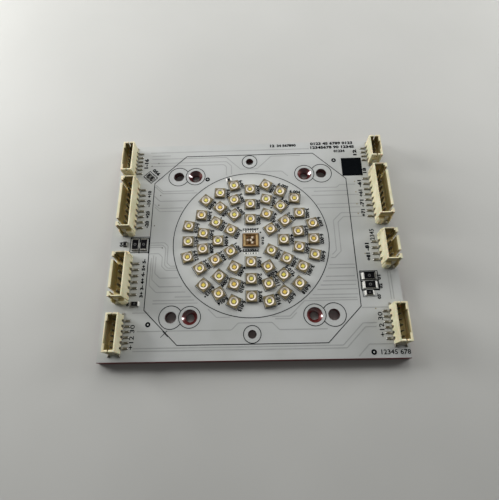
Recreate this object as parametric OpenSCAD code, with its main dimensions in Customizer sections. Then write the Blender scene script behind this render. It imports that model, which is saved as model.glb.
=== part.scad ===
// LED light board: a thick copper plate with a white insulating face. It carries 54 small LEDs
// in a hexagonal field round one multi-chip emitter, chip resistors, and eight top-entry
// wire-to-board sockets along its left and right edges.
// Millimetres. Origin: centre of the underside. +X is the right edge, +Y the rear edge, +Z up.

/* [Board] */
// Width of the board, left to right
board_w = 112.3; // [106:0.1:130]
// Depth of the board, front to rear
board_d = 92.6; // [91.6:0.1:110]
// Thickness of the copper plate
copper_t = 2.8; // [2:0.1:5]
// Thickness of the white insulating layer on the copper
layer_t = 0.2; // [0.1:0.05:0.4]
// Thickness of the printed black ink
ink_t = 0.04; // [0.02:0.01:0.08]
// Thickness of the bare tinned pads
pad_t = 0.05; // [0.02:0.01:0.1]

/* [Holes] */
// Diameter of the four plain corner holes
corner_hole_d = 4.4; // [3:0.1:4.8]
// Distance of the corner holes from each middle line
corner_hole_at = 30.3; // [29.5:0.1:31]
// Through diameter of the four countersunk holes
sunk_hole_d = 3.2; // [2.2:0.1:4]
// Diameter of the countersinks at the top
sunk_head_d = 5.9; // [5:0.1:6.6]
// Full angle of the countersinks
sunk_angle = 90; // [80:1:120]
// Distance of the countersunk holes from the front-to-rear middle line
sunk_hole_x = 23.2; // [22:0.1:23.6]
// Diameter of the front and rear holes on the middle line
middle_hole_d = 3.2; // [2.2:0.1:4]
// Distance of those two holes from the left-to-right middle line
middle_hole_y = 37.0; // [36:0.1:37.2]

/* [Printed marks] */
// Width of a printed line
line_w = 0.28; // [0.15:0.01:0.4]
// Gap between the outermost LED corner and the large printed circle
circle_gap = 2.28; // [1.5:0.02:4]
// Half width of the printed octagon
octagon_half = 40.5; // [39.6:0.1:41]
// Side of the octagon's cut corners along X and Y
octagon_cut = 13.1; // [11:0.1:14]
// Ring radius round the corner holes
corner_ring_r = 4.4; // [3.8:0.1:4.8]
// Ring radius round the countersunk holes
sunk_ring_r = 4.1; // [3.7:0.1:4.4]
// Ring radius round the two holes on the middle line
middle_ring_r = 3.2; // [2.6:0.1:3.3]
// Side of the solid black square
square_w = 8.0; // [5:0.1:8.2]
// Middle of the black square, in from the right edge and from the rear edge
square_in = [12.65, 13.1]; // [10:0.05:14]
// Outer diameter of the round alignment marks
mark_d = 1.95; // [1.4:0.05:2.4]
// Diameter of the bare middle of an alignment mark
mark_hole_d = 0.7; // [0.4:0.05:1]

/* [LED field] */
// Side of an LED housing
led_w = 4.1; // [3:0.1:4.6]
// Height of an LED housing
led_h = 1.1; // [0.9:0.1:2.5]
// Diameter of the round reflector ring
led_ring_d = 3.4; // [3.2:0.1:3.7]
// Diameter of the reflector's mouth
led_mouth_d = 3.0; // [2.3:0.1:3.2]
// Diameter of the reflector at its foot
led_foot_d = 2.1; // [1.8:0.1:2.3]
// Depth of the reflector
led_cup_depth = 0.4; // [0.3:0.05:0.6]
// Side of the light-giving chip
led_chip_w = 1.2; // [0.7:0.05:1.25]
// Height of the light-giving chip
led_chip_h = 0.25; // [0.1:0.05:0.35]
// Distance from the middle to the first LED on a spoke
spoke_start = 9.2; // [8.6:0.1:10]
// Distance between LEDs along a spoke
spoke_step = 6.9; // [6.4:0.1:7.2]
// Distance from the middle to the first row between the spokes
row_start = 13.04; // [12.6:0.02:13.4]
// Distance from one row to the next
row_step = 5.95; // [5.8:0.05:6.2]
// Distance between the LEDs of a row
row_pitch = 6.7; // [6.2:0.1:6.9]

/* [Central emitter] */
// Width of the emitter
emitter_w = 6.4; // [6:0.1:7.5]
// Depth of the emitter
emitter_d = 5.7; // [5.5:0.1:7]
// Height of the emitter
emitter_h = 0.9; // [0.8:0.05:1.6]
// Thickness of the emitter's carrier
emitter_base_t = 0.45; // [0.3:0.05:0.5]
// Width of the emitter's raised rim
emitter_rim_w = 0.55; // [0.3:0.05:0.6]
// Width of the two connecting bars inside the rim
emitter_bar_w = 0.55; // [0.3:0.05:0.6]
// Thickness of those bars
emitter_bar_t = 0.15; // [0.1:0.05:0.2]
// Side of one emitter chip
emitter_chip_w = 0.8; // [0.5:0.05:0.95]
// Height of one emitter chip
emitter_chip_h = 0.15; // [0.1:0.05:0.2]
// Distance between the emitter chips
emitter_pitch = 1.25; // [1.15:0.05:1.3]

/* [Resistors] */
// Length, width and height of the four power resistors
power_chip = [5.0, 2.5, 0.55]; // [0.4:0.05:5.2]
// Length, width and height of the two medium chips
medium_chip = [3.2, 1.6, 0.55]; // [0.4:0.05:3.4]
// Length, width and height of the four small chips
small_chip = [2.0, 1.25, 0.5]; // [0.4:0.05:2.2]
// Length of a power resistor's metal ends
power_end = 0.55; // [0.3:0.05:0.8]
// Length of the other chips' metal ends
small_end = 0.4; // [0.2:0.05:0.6]
// Thickness of the metal ends
end_t = 0.05; // [0.03:0.01:0.1]
// Thickness of the black coat
coat_t = 0.04; // [0.02:0.01:0.05]
// Gap between a chip and the line printed round it
outline_gap = 0.95; // [0.4:0.05:1]

/* [Chip places] */
// First left power resistor: in from the left edge, and behind the middle line
power_left_at = [10.0, -0.75]; // [-2:0.05:11]
// Distance between the two left power resistors
power_left_pitch = 3.45; // [2.8:0.05:3.6]
// First right power resistor: in from the right edge, and behind the middle line
power_right_at = [11.35, -15.8]; // [-17:0.05:12]
// Distance between the two right power resistors
power_right_pitch = 3.5; // [2.8:0.05:3.6]
// Right medium chip: in from the right edge, and behind the middle line
medium_right_at = [11.95, -22.4]; // [-24:0.05:12]
// Left medium chip: in from the left edge, and behind the middle line
medium_left_at = [11.95, -24.9]; // [-26:0.05:12]
// Left small chip: in from the left edge, and behind the middle line
small_left_at = [5.75, -0.4]; // [-2:0.05:6]
// Paired small chips: middle of the pair, in from the left edge and from the rear edge
small_pair_at = [13.6, 15.75]; // [12:0.05:17]
// Distance between the paired small chips
small_pair_pitch = 1.98; // [1.7:0.02:2.4]
// Small chip beside the LED field: distance inside the circle
field_chip_in = 1.52; // [1.1:0.02:1.7]
// Direction and turn of that chip
field_chip_turn = [107.6, 12]; // [0:0.2:120]

/* [Wide sockets] */
// Pins: left rear, left front, right rear, right front
wide_pins = [8, 6, 8, 4]; // [4:1:8]
// Middle of each along the board: left rear, left front, right rear, right front
wide_y = [15.5, -15.0, 18.3, -5.45]; // [-20:0.05:20]
// Distance between pins
wide_pitch = 2.5; // [2.3:0.05:2.54]
// Length of the housing beyond its first and last pin, both ends together
wide_over = 4.9; // [4.6:0.05:5.2]
// Length of the cavity beyond its first and last pin, both ends together
wide_cavity_over = 3.9; // [3.2:0.05:4]
// Width of the housing
wide_w = 5.5; // [5.2:0.05:5.8]
// Height of the housing
wide_h = 7.9; // [6:0.1:9]
// Thickness of the wall on the pin-leg side
wide_inner_wall = 0.7; // [0.5:0.05:0.9]
// Thickness of the wall towards the board's edge
wide_outer_wall = 0.9; // [0.6:0.05:1.1]
// Thickness of the cavity's floor
wide_floor = 2.0; // [1.6:0.1:2.8]
// Width of the two keying slots in the outer wall
wide_slot_w = 1.4; // [0.8:0.1:1.8]
// Distance from the housing's end to the middle of a slot
wide_slot_in = 2.6; // [2.2:0.1:3]
// Side of a square pin
wide_pin = 0.64; // [0.5:0.02:0.7]
// Distance of the pins from the leg side of the housing
wide_pin_x = 2.6; // [2.2:0.1:3]
// Depth of the pin tips below the rim
wide_tip_in = 1.2; // [0.6:0.1:2]
// Reach of the legs beyond the housing
wide_reach = 2.7; // [2.2:0.05:3]
// Length of the foot blocks beyond each end
foot_l = 1.3; // [0.9:0.1:1.5]
// Height of the foot blocks
foot_h = 4.2; // [3:0.1:5]
// Width of the recess in a foot block, where the solder tab stands
foot_recess_w = 2.4; // [2:0.1:2.8]
// Distance of the middle of that recess and of the tab from the leg side
wide_tab_x = 3.55; // [3.2:0.05:3.7]
// Width of a wide socket's solder tab
wide_tab_w = 1.6; // [1.2:0.1:1.8]
// Height of a wide socket's solder tab
wide_tab_h = 4.3; // [3:0.1:4.6]

/* [Narrow sockets] */
// Pins: left rear, left front, right rear, right front
narrow_pins = [6, 6, 4, 6]; // [4:1:6]
// Middle of each along the board: left rear, left front, right rear, right front
narrow_y = [37.45, -36.3, 39.2, -34.35]; // [-37:0.05:40]
// Distance between pins
narrow_pitch = 2.0; // [1.8:0.05:2]
// Length of the housing beyond its first and last pin, both ends together
narrow_over = 3.9; // [3.5:0.05:4]
// Length of the cavity beyond its first and last pin, both ends together
narrow_cavity_over = 2.35; // [1.8:0.05:2.6]
// Width of the housing
narrow_w = 4.6; // [4.3:0.05:4.9]
// Height of the housing
narrow_h = 6.6; // [5:0.1:8]
// Thickness of the wall on the pin-leg side
narrow_inner_wall = 0.6; // [0.4:0.05:0.8]
// Thickness of the wall towards the board's edge
narrow_outer_wall = 0.8; // [0.6:0.05:0.9]
// Thickness of the cavity's floor
narrow_floor = 1.6; // [1.3:0.1:2.4]
// Depth of the keying recess in the outer wall
narrow_recess = 0.45; // [0.2:0.05:0.5]
// Width of the slit in each end wall
narrow_slit_w = 0.45; // [0.3:0.05:0.8]
// Side of a square pin
narrow_pin = 0.5; // [0.4:0.02:0.6]
// Distance of the pins from the leg side of the housing
narrow_pin_x = 2.1; // [1.8:0.1:2.4]
// Depth of the pin tips below the rim
narrow_tip_in = 1.1; // [0.6:0.1:2]
// Reach of the legs beyond the housing
narrow_reach = 2.4; // [2:0.05:2.6]

/* [Socket metalwork] */
// Thickness of the legs
leg_t = 0.3; // [0.2:0.02:0.36]
// Height of the legs' underside where they leave the housing
leg_rise = 0.55; // [0.4:0.05:0.7]
// Width of the scallop in the housing round each leg
scallop_w = 1.15; // [0.9:0.05:1.3]
// Height of that scallop
scallop_h = 1.15; // [1.1:0.05:1.25]
// Thickness of the solder tabs at the housing's ends
tab_t = 0.3; // [0.2:0.02:0.4]
// Reach of the solder tabs beyond the housing
tab_reach = 1.0; // [0.6:0.1:1.1]
// Height of the narrow sockets' solder tabs
tab_h = 2.6; // [1.4:0.1:2.8]

/* [Socket places] */
// Gap from the left edge to the wide sockets
left_wide_gap = 3.95; // [1:0.05:4.2]
// Gap from the right edge to the wide sockets
right_wide_gap = 0.5; // [0.3:0.05:1.5]
// Gap from the left edge to the rear narrow socket
left_rear_gap = 2.65; // [1:0.05:4]
// Gap from the left edge to the front narrow socket
left_front_gap = 3.85; // [1:0.05:4.5]
// Gap from the right edge to the narrow sockets
right_narrow_gap = 0.9; // [0.5:0.05:2]

/* [Hidden] */

$fn = 64;
// Overrun of a cut beyond the face it opens
cut = 0.5;

// Upper face of the board, where the pieces stand
top_z = copper_t + layer_t;
left_x = -board_w / 2;
right_x = board_w / 2;
rear_y = board_d / 2;
front_y = -board_d / 2;

copper_red = [0.55, 0.22, 0.16];
face_white = [0.86, 0.87, 0.88];
ink_black = [0.07, 0.07, 0.08];
tin = [0.78, 0.78, 0.77];
led_tan = [0.62, 0.56, 0.42];
led_white = [0.93, 0.93, 0.9];
led_yellow = [0.95, 0.83, 0.35];
resin_clear = [0.9, 0.88, 0.8, 0.35];
gold = [0.8, 0.62, 0.36];
chip_white = [0.85, 0.86, 0.88];
ceramic = [0.88, 0.88, 0.86];
socket_cream = [0.9, 0.88, 0.72];
pin_tin = [0.72, 0.71, 0.68];

// Every sector of the LED field is a sixth of a turn
sectors = [0:5];
sector_angle = 60;

// Turn of each package on the spokes, by spoke from 30 degrees on, inner to outer
spoke_turn = [[33, 36, 0], [0, 0, 0], [-30, -30, -5], [33, 33, 33], [0, 0, 0], [-28, -28, -28]];
// Turn of each package in the rows between the spokes, by sector from 0 degrees on
row_turn = [
    [[0], [-25], [40], [0], [-30], [30]],
    [[-11, 8], [47, -16], [20, -42], [-8, 8], [-42, -19], [20, 40]],
    [[-13, 0, 15], [-7, -26, -33], [15, -3, -40], [-12, 0, 15], [-42, 30, -28], [14, -41, -42]]
];

// Place on the board of a point that lies ALONG the direction ANGLE and ACROSS it, with its turn
function led_place(angle, along, across, turn) =
    [along * cos(angle) - across * sin(angle), along * sin(angle) + across * cos(angle), turn];

function spoke_places(ring) = [
    for (s = sectors)
        led_place(sector_angle * (s + 0.5), spoke_start + ring * spoke_step, 0, spoke_turn[s][ring])
];

function row_places(row) = [
    for (s = sectors, j = [0:row])
        led_place(sector_angle * s, row_start + row * row_step, (j - row / 2) * row_pitch,
                  row_turn[row][s][j])
];

all_places = concat(spoke_places(0), spoke_places(1), spoke_places(2),
                    row_places(0), row_places(1), row_places(2));

// Radius of the large printed circle, round the corner LEDs of the outer rows
circle_r = norm([row_start + 2 * row_step, row_pitch]) + led_w / sqrt(2) + circle_gap;

// Chips as [X, Y, turn]
power_places = [
    [left_x + power_left_at.x, power_left_at.y, 90],
    [left_x + power_left_at.x + power_left_pitch, power_left_at.y, 90],
    [right_x - power_right_at.x, power_right_at.y, 0],
    [right_x - power_right_at.x, power_right_at.y - power_right_pitch, 0]
];
medium_places = [
    [right_x - medium_right_at.x, medium_right_at.y, 0],
    [left_x + medium_left_at.x, medium_left_at.y, 0]
];
pair_step = small_pair_pitch / 2 / sqrt(2);
small_places = [
    [
        (circle_r - field_chip_in) * cos(field_chip_turn[0]),
        (circle_r - field_chip_in) * sin(field_chip_turn[0]),
        field_chip_turn[1]
    ],
    [left_x + small_left_at.x, small_left_at.y, 90],
    [left_x + small_pair_at.x - pair_step, rear_y - small_pair_at.y + pair_step, 45],
    [left_x + small_pair_at.x + pair_step, rear_y - small_pair_at.y - pair_step, 45]
];

square_at = [right_x - square_in.x, rear_y - square_in.y];
// Alignment marks: one beside the circle, three in from the board's corners
field_mark_at = [-18.0, 28.7];
rear_mark_in = [19.95, 9.7];
left_mark_in = [17.55, 13.5];
front_mark_in = [13.05, 2.3];
alignment_marks = [
    field_mark_at,
    [right_x - rear_mark_in.x, rear_y - rear_mark_in.y],
    [left_x + left_mark_in.x, front_y + left_mark_in.y],
    [right_x - front_mark_in.x, front_y + front_mark_in.y]
];

quadrants = [[1, 1], [-1, 1], [-1, -1], [1, -1]];

// Depth of a countersink below the top of the copper
sunk_depth = (sunk_head_d - sunk_hole_d) / 2 / tan(sunk_angle / 2);

// Leg-side face of a socket, by its number: left rear, left front, right rear, right front
function wide_face(k) = k < 2 ? left_x + left_wide_gap + wide_w : right_x - right_wide_gap - wide_w;
narrow_gaps = [left_rear_gap, left_front_gap];
function narrow_face(k) =
    k < 2 ? left_x + narrow_gaps[k] + narrow_w : right_x - right_narrow_gap - narrow_w;
function side_turn(k) = k < 2 ? 180 : 0;

// Offsets of a row of COUNT things about its middle
function row_offsets(count, pitch) = [for (i = [0:count - 1]) (i - (count - 1) / 2) * pitch];

module block(x, y, z) {
    // Box given by its lowest and highest X, Y and Z
    translate([x[0], y[0], z[0]])
        cube([x[1] - x[0], y[1] - y[0], z[1] - z[0]]);
}

module on_top(place) {
    translate([place.x, place.y, top_z])
        rotate(place.z)
            children();
}

module at_wide(k) {
    on_top([wide_face(k), wide_y[k], side_turn(k)])
        children();
}

module at_narrow(k) {
    on_top([narrow_face(k), narrow_y[k], side_turn(k)])
        children();
}

module board_blank(z0, z1) {
    block([left_x, right_x], [front_y, rear_y], [z0, z1]);
}

module plain_holes(z0, z1) {
    for (q = quadrants)
        translate([q.x * corner_hole_at, q.y * corner_hole_at, z0])
            cylinder(d = corner_hole_d, h = z1 - z0);
    for (side = [-1, 1])
        translate([0, side * middle_hole_y, z0])
            cylinder(d = middle_hole_d, h = z1 - z0);
}

module at_sunk_holes(z) {
    for (q = quadrants)
        translate([q.x * sunk_hole_x, q.y * corner_hole_at, z])
            children();
}

module copper_plate() {
    color(copper_red)
        difference() {
            board_blank(0, copper_t);
            plain_holes(-cut, copper_t + cut);
            at_sunk_holes(-cut)
                cylinder(d = sunk_hole_d, h = copper_t + 2 * cut);
            at_sunk_holes(copper_t - sunk_depth)
                cylinder(d1 = sunk_hole_d, d2 = sunk_head_d, h = sunk_depth);
        }
}

module white_layer() {
    color(face_white)
        difference() {
            board_blank(copper_t, top_z);
            plain_holes(copper_t - cut, top_z + cut);
            at_sunk_holes(copper_t - cut)
                cylinder(d = sunk_head_d, h = layer_t + 2 * cut);
        }
}

module ring(r, w, h) {
    difference() {
        cylinder(r = r + w / 2, h = h);
        translate([0, 0, -cut])
            cylinder(r = r - w / 2, h = h + 2 * cut);
    }
}

// Corners of the octagon at a distance GROW outside its nominal line
function octagon(grow) =
    let (half = octagon_half + grow, flat = octagon_half - octagon_cut + grow * tan(22.5))
        [
            [half, flat], [flat, half], [-flat, half], [-half, flat],
            [-half, -flat], [-flat, -half], [flat, -half], [half, -flat]
        ];

module octagon_line() {
    difference() {
        linear_extrude(ink_t)
            polygon(octagon(line_w / 2));
        translate([0, 0, -cut])
            linear_extrude(ink_t + 2 * cut)
                polygon(octagon(-line_w / 2));
    }
}

module frame_line(size) {
    difference() {
        block([-size.x / 2, size.x / 2], [-size.y / 2, size.y / 2], [0, ink_t]);
        block([line_w - size.x / 2, size.x / 2 - line_w], [line_w - size.y / 2, size.y / 2 - line_w],
              [-cut, ink_t + cut]);
    }
}

module chip_outline(places, size) {
    // One line round a pair of chips, or round a single one
    first = places[0];
    last = places[len(places) - 1];
    spread = norm([last.x - first.x, last.y - first.y]);
    on_top([(first.x + last.x) / 2, (first.y + last.y) / 2, first.z])
        frame_line([size.x + 2 * outline_gap, size.y + 2 * outline_gap + spread]);
}

module hole_rings() {
    for (q = quadrants) {
        translate([q.x * sunk_hole_x, q.y * corner_hole_at, top_z])
            ring(sunk_ring_r, line_w, ink_t);
        difference() {
            translate([q.x * corner_hole_at, q.y * corner_hole_at, top_z])
                ring(corner_ring_r, line_w, ink_t);
            translate([q.x * sunk_hole_x, q.y * corner_hole_at, top_z - cut])
                cylinder(r = sunk_ring_r, h = ink_t + 2 * cut);
        }
    }
    for (side = [-1, 1])
        translate([0, side * middle_hole_y, top_z])
            ring(middle_ring_r, line_w, ink_t);
}

module ink_marks() {
    color(ink_black) {
        translate([0, 0, top_z])
            ring(circle_r, line_w, ink_t);
        translate([0, 0, top_z])
            octagon_line();
        hole_rings();
        translate([square_at.x, square_at.y, top_z])
            block([-square_w / 2, square_w / 2], [-square_w / 2, square_w / 2], [0, ink_t]);
        for (m = alignment_marks)
            translate([m.x, m.y, top_z])
                ring((mark_d + mark_hole_d) / 4, (mark_d - mark_hole_d) / 2, ink_t);
        chip_outline([power_places[0], power_places[1]], power_chip);
        chip_outline([power_places[2]], power_chip);
        chip_outline([power_places[3]], power_chip);
        chip_outline([small_places[2], small_places[3]], small_chip);
    }
}

// Margin of a pad round the metal that is soldered to it
pad_margin = 0.2;

module leg_pads(pins, pitch, pin, reach) {
    for (u = row_offsets(pins, pitch))
        block([-reach - pad_margin, -leg_clear], [u - pin / 2 - pad_margin, u + pin / 2 + pad_margin],
              [0, pad_t]);
}

module tab_pads(length, x) {
    for (end = [-1, 1])
        scale_end(end)
            block(x, [length / 2 + pad_clear, length / 2 + tab_reach + pad_margin], [0, pad_t]);
}

module scale_end(end) {
    // The piece as drawn at the +Y end, or mirrored to the other end
    mirror([0, end < 0 ? 1 : 0, 0])
        children();
}

// Gap between a housing and the pads beside it
leg_clear = 0.35;
pad_clear = 0.1;

module chip_pads(size, end) {
    for (side = [-1, 1])
        block([min(side * (size.x / 2 + pad_margin), side * (size.x / 2 - end)),
               max(side * (size.x / 2 + pad_margin), side * (size.x / 2 - end))],
              [-size.y / 2, size.y / 2], [0, pad_t]);
}

// Bare test pads beside the emitter: X of each, their size, and the gaps behind and before it
emitter_pad_x = [-2.5, -1.2, -0.5, 0.3, 1.55, 2.4];
emitter_pad = [0.5, 0.6];
emitter_pad_gaps = [0.75, 2.3];

module emitter_pads() {
    for (x = emitter_pad_x, side = [0, 1])
        mirror([0, side, 0])
            translate([x, emitter_d / 2 + emitter_pad_gaps[side], top_z])
                block([-emitter_pad.x / 2, emitter_pad.x / 2], [0, emitter_pad.y], [0, pad_t]);
}

module tin_pads() {
    color(tin) {
        for (k = [0:3]) {
            at_wide(k)
                leg_pads(wide_pins[k], wide_pitch, wide_pin, wide_reach);
            at_wide(k)
                tab_pads(wide_length(k), wide_tab_span);
            at_narrow(k)
                leg_pads(narrow_pins[k], narrow_pitch, narrow_pin, narrow_reach);
            at_narrow(k)
                tab_pads(narrow_length(k), [narrow_foot_in, (narrow_w - fork_w) / 2]);
            at_narrow(k)
                tab_pads(narrow_length(k), [(narrow_w + fork_w) / 2, narrow_w - narrow_foot_in]);
        }
        for (p = power_places)
            on_top(p)
                chip_pads(power_chip, power_end);
        for (p = medium_places)
            on_top(p)
                chip_pads(medium_chip, small_end);
        for (p = small_places)
            on_top(p)
                chip_pads(small_chip, small_end);
        emitter_pads();
    }
}

module led_housings(places) {
    color(led_tan)
        for (p = places)
            on_top(p)
                difference() {
                    block([-led_w / 2, led_w / 2], [-led_w / 2, led_w / 2], [0, led_h]);
                    translate([0, 0, led_h - led_cup_depth])
                        cylinder(d = led_ring_d, h = led_cup_depth + cut);
                }
}

module led_reflectors(places) {
    color(led_white)
        for (p = places)
            on_top(p)
                translate([0, 0, led_h - led_cup_depth])
                    difference() {
                        cylinder(d = led_ring_d, h = led_cup_depth);
                        cylinder(d1 = led_foot_d, d2 = led_mouth_d, h = led_cup_depth);
                    }
}

module led_chip() {
    translate([0, 0, led_h - led_cup_depth])
        block([-led_chip_w / 2, led_chip_w / 2], [-led_chip_w / 2, led_chip_w / 2], [0, led_chip_h]);
}

module led_chips(places) {
    color(led_yellow)
        for (p = places)
            on_top(p)
                led_chip();
}

module led_resin() {
    color(resin_clear)
        for (p = all_places)
            on_top(p)
                difference() {
                    translate([0, 0, led_h - led_cup_depth])
                        cylinder(d1 = led_foot_d, d2 = led_mouth_d, h = led_cup_depth);
                    led_chip();
                }
}

module emitter_carrier() {
    color(gold)
        translate([0, 0, top_z])
            block([-emitter_w / 2, emitter_w / 2], [-emitter_d / 2, emitter_d / 2], [0, emitter_base_t]);
}

module emitter_rim() {
    color(gold)
        translate([0, 0, top_z])
            difference() {
                block([-emitter_w / 2, emitter_w / 2], [-emitter_d / 2, emitter_d / 2],
                      [emitter_base_t, emitter_h]);
                block([emitter_rim_w - emitter_w / 2, emitter_w / 2 - emitter_rim_w],
                      [emitter_rim_w - emitter_d / 2, emitter_d / 2 - emitter_rim_w],
                      [emitter_base_t - cut, emitter_h + cut]);
            }
}

module emitter_bars() {
    color(gold)
        for (side = [-1, 1])
            translate([side * (emitter_w / 2 - emitter_rim_w - emitter_bar_w / 2), 0, top_z])
                block([-emitter_bar_w / 2, emitter_bar_w / 2],
                      [emitter_rim_w - emitter_d / 2, emitter_d / 2 - emitter_rim_w],
                      [emitter_base_t, emitter_base_t + emitter_bar_t]);
}

module emitter_chips() {
    // Seven chips: one in the middle and six round it, two of them in each outer row
    color(chip_white)
        for (row = [-1:1], x = row_offsets(3 - abs(row), emitter_pitch))
            translate([x, row * emitter_pitch * sin(sector_angle), top_z + emitter_base_t])
                block([-emitter_chip_w / 2, emitter_chip_w / 2], [-emitter_chip_w / 2, emitter_chip_w / 2],
                      [0, emitter_chip_h]);
}

module chip_core(size) {
    block([end_t - size.x / 2, size.x / 2 - end_t], [-size.y / 2, size.y / 2],
          [pad_t + end_t, pad_t + size.z - coat_t]);
}

module chip_coat(size, end) {
    block([end - size.x / 2, size.x / 2 - end], [-size.y / 2, size.y / 2],
          [pad_t + size.z - coat_t, pad_t + size.z]);
}

module chip_end_caps(size, end) {
    for (side = [-1, 1])
        mirror([side < 0 ? 1 : 0, 0, 0])
            difference() {
                block([size.x / 2 - end, size.x / 2], [-size.y / 2 - end_t, size.y / 2 + end_t],
                      [pad_t, pad_t + size.z]);
                block([-size.x / 2, size.x / 2 - end_t], [-size.y / 2, size.y / 2],
                      [pad_t + end_t, pad_t + size.z - coat_t]);
            }
}

module power_resistor_cores() {
    color(ceramic)
        for (p = power_places)
            on_top(p)
                chip_core(power_chip);
}

module power_resistor_coats() {
    color(ink_black)
        for (p = power_places)
            on_top(p)
                chip_coat(power_chip, power_end);
}

module power_resistor_ends() {
    color(tin)
        for (p = power_places)
            on_top(p)
                chip_end_caps(power_chip, power_end);
}

module chip_cores() {
    color(ceramic) {
        for (p = medium_places)
            on_top(p)
                chip_core(medium_chip);
        for (p = small_places)
            on_top(p)
                chip_core(small_chip);
    }
}

module chip_coats() {
    color(ink_black) {
        for (p = medium_places)
            on_top(p)
                chip_coat(medium_chip, small_end);
        for (p = small_places)
            on_top(p)
                chip_coat(small_chip, small_end);
    }
}

module chip_ends() {
    color(tin) {
        for (p = medium_places)
            on_top(p)
                chip_end_caps(medium_chip, small_end);
        for (p = small_places)
            on_top(p)
                chip_end_caps(small_chip, small_end);
    }
}

// Sockets are drawn with X from the leg side outwards, Y along the row and Z up from the board

function wide_length(k) = (wide_pins[k] - 1) * wide_pitch + wide_over;
function narrow_length(k) = (narrow_pins[k] - 1) * narrow_pitch + narrow_over;

// Lead-in bevel round a socket's mouth
bevel = 0.25;
wide_tab_span = [wide_tab_x - wide_tab_w / 2, wide_tab_x + wide_tab_w / 2];
// Height of the dark pocket above a foot block, over the tab
pocket_rise = 0.45;
// The pocket is wider than the foot block's recess by this much, on the leg side
pocket_out = 0.6;
// Chamfers on the outer corners of a foot block, and the groove between it and the wall
foot_chamfer = 0.6;
foot_groove = [0.3, 0.3];
// Corner blocks in a wide socket's cavity: distance from the outer wall, length along the row
corner_block = [0.5, 0.55];
// Groove down the end face beside the outer wall: width, depth and distance from the outer side
end_groove = [0.55, 0.3, 0.75];
// Depth and end distance of the raised panels on the leg side of a wide socket
panel_t = 0.15;
panel_l = 0.7;
// Depth and width of the notch over each leg, and its height over the cavity's floor
notch = [0.4, 0.75];
notch_rise = 0.35;
// Lip over the recess in a narrow socket's end, and the recess's distance from the sides
narrow_lip = 0.9;
narrow_recess_in = [1.0, 0.7];
// Distance of a narrow tab's upright and of its foot from the housing's sides
narrow_tab_in = 1.3;
narrow_foot_in = 0.05;
// Width of the gap between the two prongs of that foot, and depth of the bar that joins them
fork_w = 2.9;
fork_bar = 0.4;
// The keying recess stops this far inside the end pins of a narrow socket
recess_in = 1.0;

module mouth_bevel(x, half) {
    // Sloped cuts along the four upper edges of a cavity; the profile is a triangle
    size = bevel + cut;
    for (side = [0, 1])
        translate([x[side], 0, 0])
            mirror([side == 0 ? 0 : 1, 0, 0])
                rotate([90, 0, 0])
                    linear_extrude(2 * half, center = true)
                        polygon([[-bevel, 0], [0, -bevel], [size, -bevel], [size, cut], [-bevel, cut]]);
    for (end = [-1, 1])
        scale_end(end)
            translate([x[0], half, 0])
                rotate([90, 0, 90])
                    linear_extrude(x[1] - x[0])
                        polygon([[bevel, 0], [0, -bevel], [-size, -bevel], [-size, cut], [bevel, cut]]);
}

module leg_openings(pins, pitch, pin, pin_x, floor_z) {
    // Square holes that the pins pass, the scallops that their legs leave through, and the
    // notch in the wall over each leg
    for (u = row_offsets(pins, pitch)) {
        block([pin_x - pin / 2, pin_x + pin / 2], [u - pin / 2, u + pin / 2], [-cut, floor_z + cut]);
        block([-cut, pin_x + pin / 2], [u - scallop_w / 2, u + scallop_w / 2], [-cut, scallop_h]);
        block([-cut, notch[0]], [u - notch[1] / 2, u + notch[1] / 2], [-cut, floor_z + notch_rise]);
    }
}

module pin_profile(pin, pin_x, reach, tip_z) {
    // Side view of a pin with its leg: X outwards, Y up
    half = pin / 2;
    taper = pin / 4;
    knee = leg_clear + leg_t;
    foot = knee + leg_rise;
    polygon([
        [pin_x + half, leg_rise],
        [pin_x + half, tip_z - pin],
        [pin_x + half - taper, tip_z],
        [pin_x - half + taper, tip_z],
        [pin_x - half, tip_z - pin],
        [pin_x - half, leg_rise + leg_t],
        [-leg_clear, leg_rise + leg_t],
        [leg_t - foot, pad_t + leg_t],
        [-reach, pad_t + leg_t],
        [-reach, pad_t],
        [-foot, pad_t],
        [-leg_clear, leg_rise]
    ]);
}

module pin_front(pin, tip_z) {
    // End view of a pin: X along the row, Y up
    half = pin / 2;
    taper = pin / 4;
    polygon([
        [-half, 0], [half, 0], [half, tip_z - pin], [half - taper, tip_z],
        [taper - half, tip_z], [-half, tip_z - pin]
    ]);
}

module socket_pins(pins, pitch, pin, pin_x, reach, tip_z) {
    color(pin_tin)
        for (u = row_offsets(pins, pitch))
            translate([0, u, 0])
                intersection() {
                    rotate([90, 0, 0])
                        linear_extrude(pin, center = true)
                            pin_profile(pin, pin_x, reach, tip_z);
                    translate([-reach, 0, 0])
                        rotate([90, 0, 90])
                            linear_extrude(reach + pin_x + pin)
                                pin_front(pin, tip_z);
                }
}

module tab_blank(length, x, height) {
    // Angle of sheet metal at the +Y end: upright in the housing, foot on the board
    translate([x[0], length / 2, 0])
        rotate([90, 0, 90])
            linear_extrude(x[1] - x[0])
                polygon([
                    [-tab_t, pad_t], [tab_reach, pad_t], [tab_reach, pad_t + tab_t],
                    [0, pad_t + tab_t], [0, height], [-tab_t, height]
                ]);
}

module foot_block(half) {
    // Low block beyond a wide housing's end
    reach = tab_t + foot_l;
    translate([0, half - tab_t, 0])
        linear_extrude(foot_h)
            polygon([
                [0, 0], [wide_w, 0], [wide_w, reach - foot_chamfer], [wide_w - foot_chamfer, reach],
                [foot_chamfer, reach], [0, reach - foot_chamfer]
            ]);
}

module wide_cavity(x, half) {
    // The corner blocks stand at both ends of the outer wall's inner face
    block([x[0], x[1] - corner_block[0]], [-half, half], [wide_floor, wide_h + cut]);
    block(x, [corner_block[1] - half, half - corner_block[1]], [wide_floor, wide_h + cut]);
}

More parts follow.
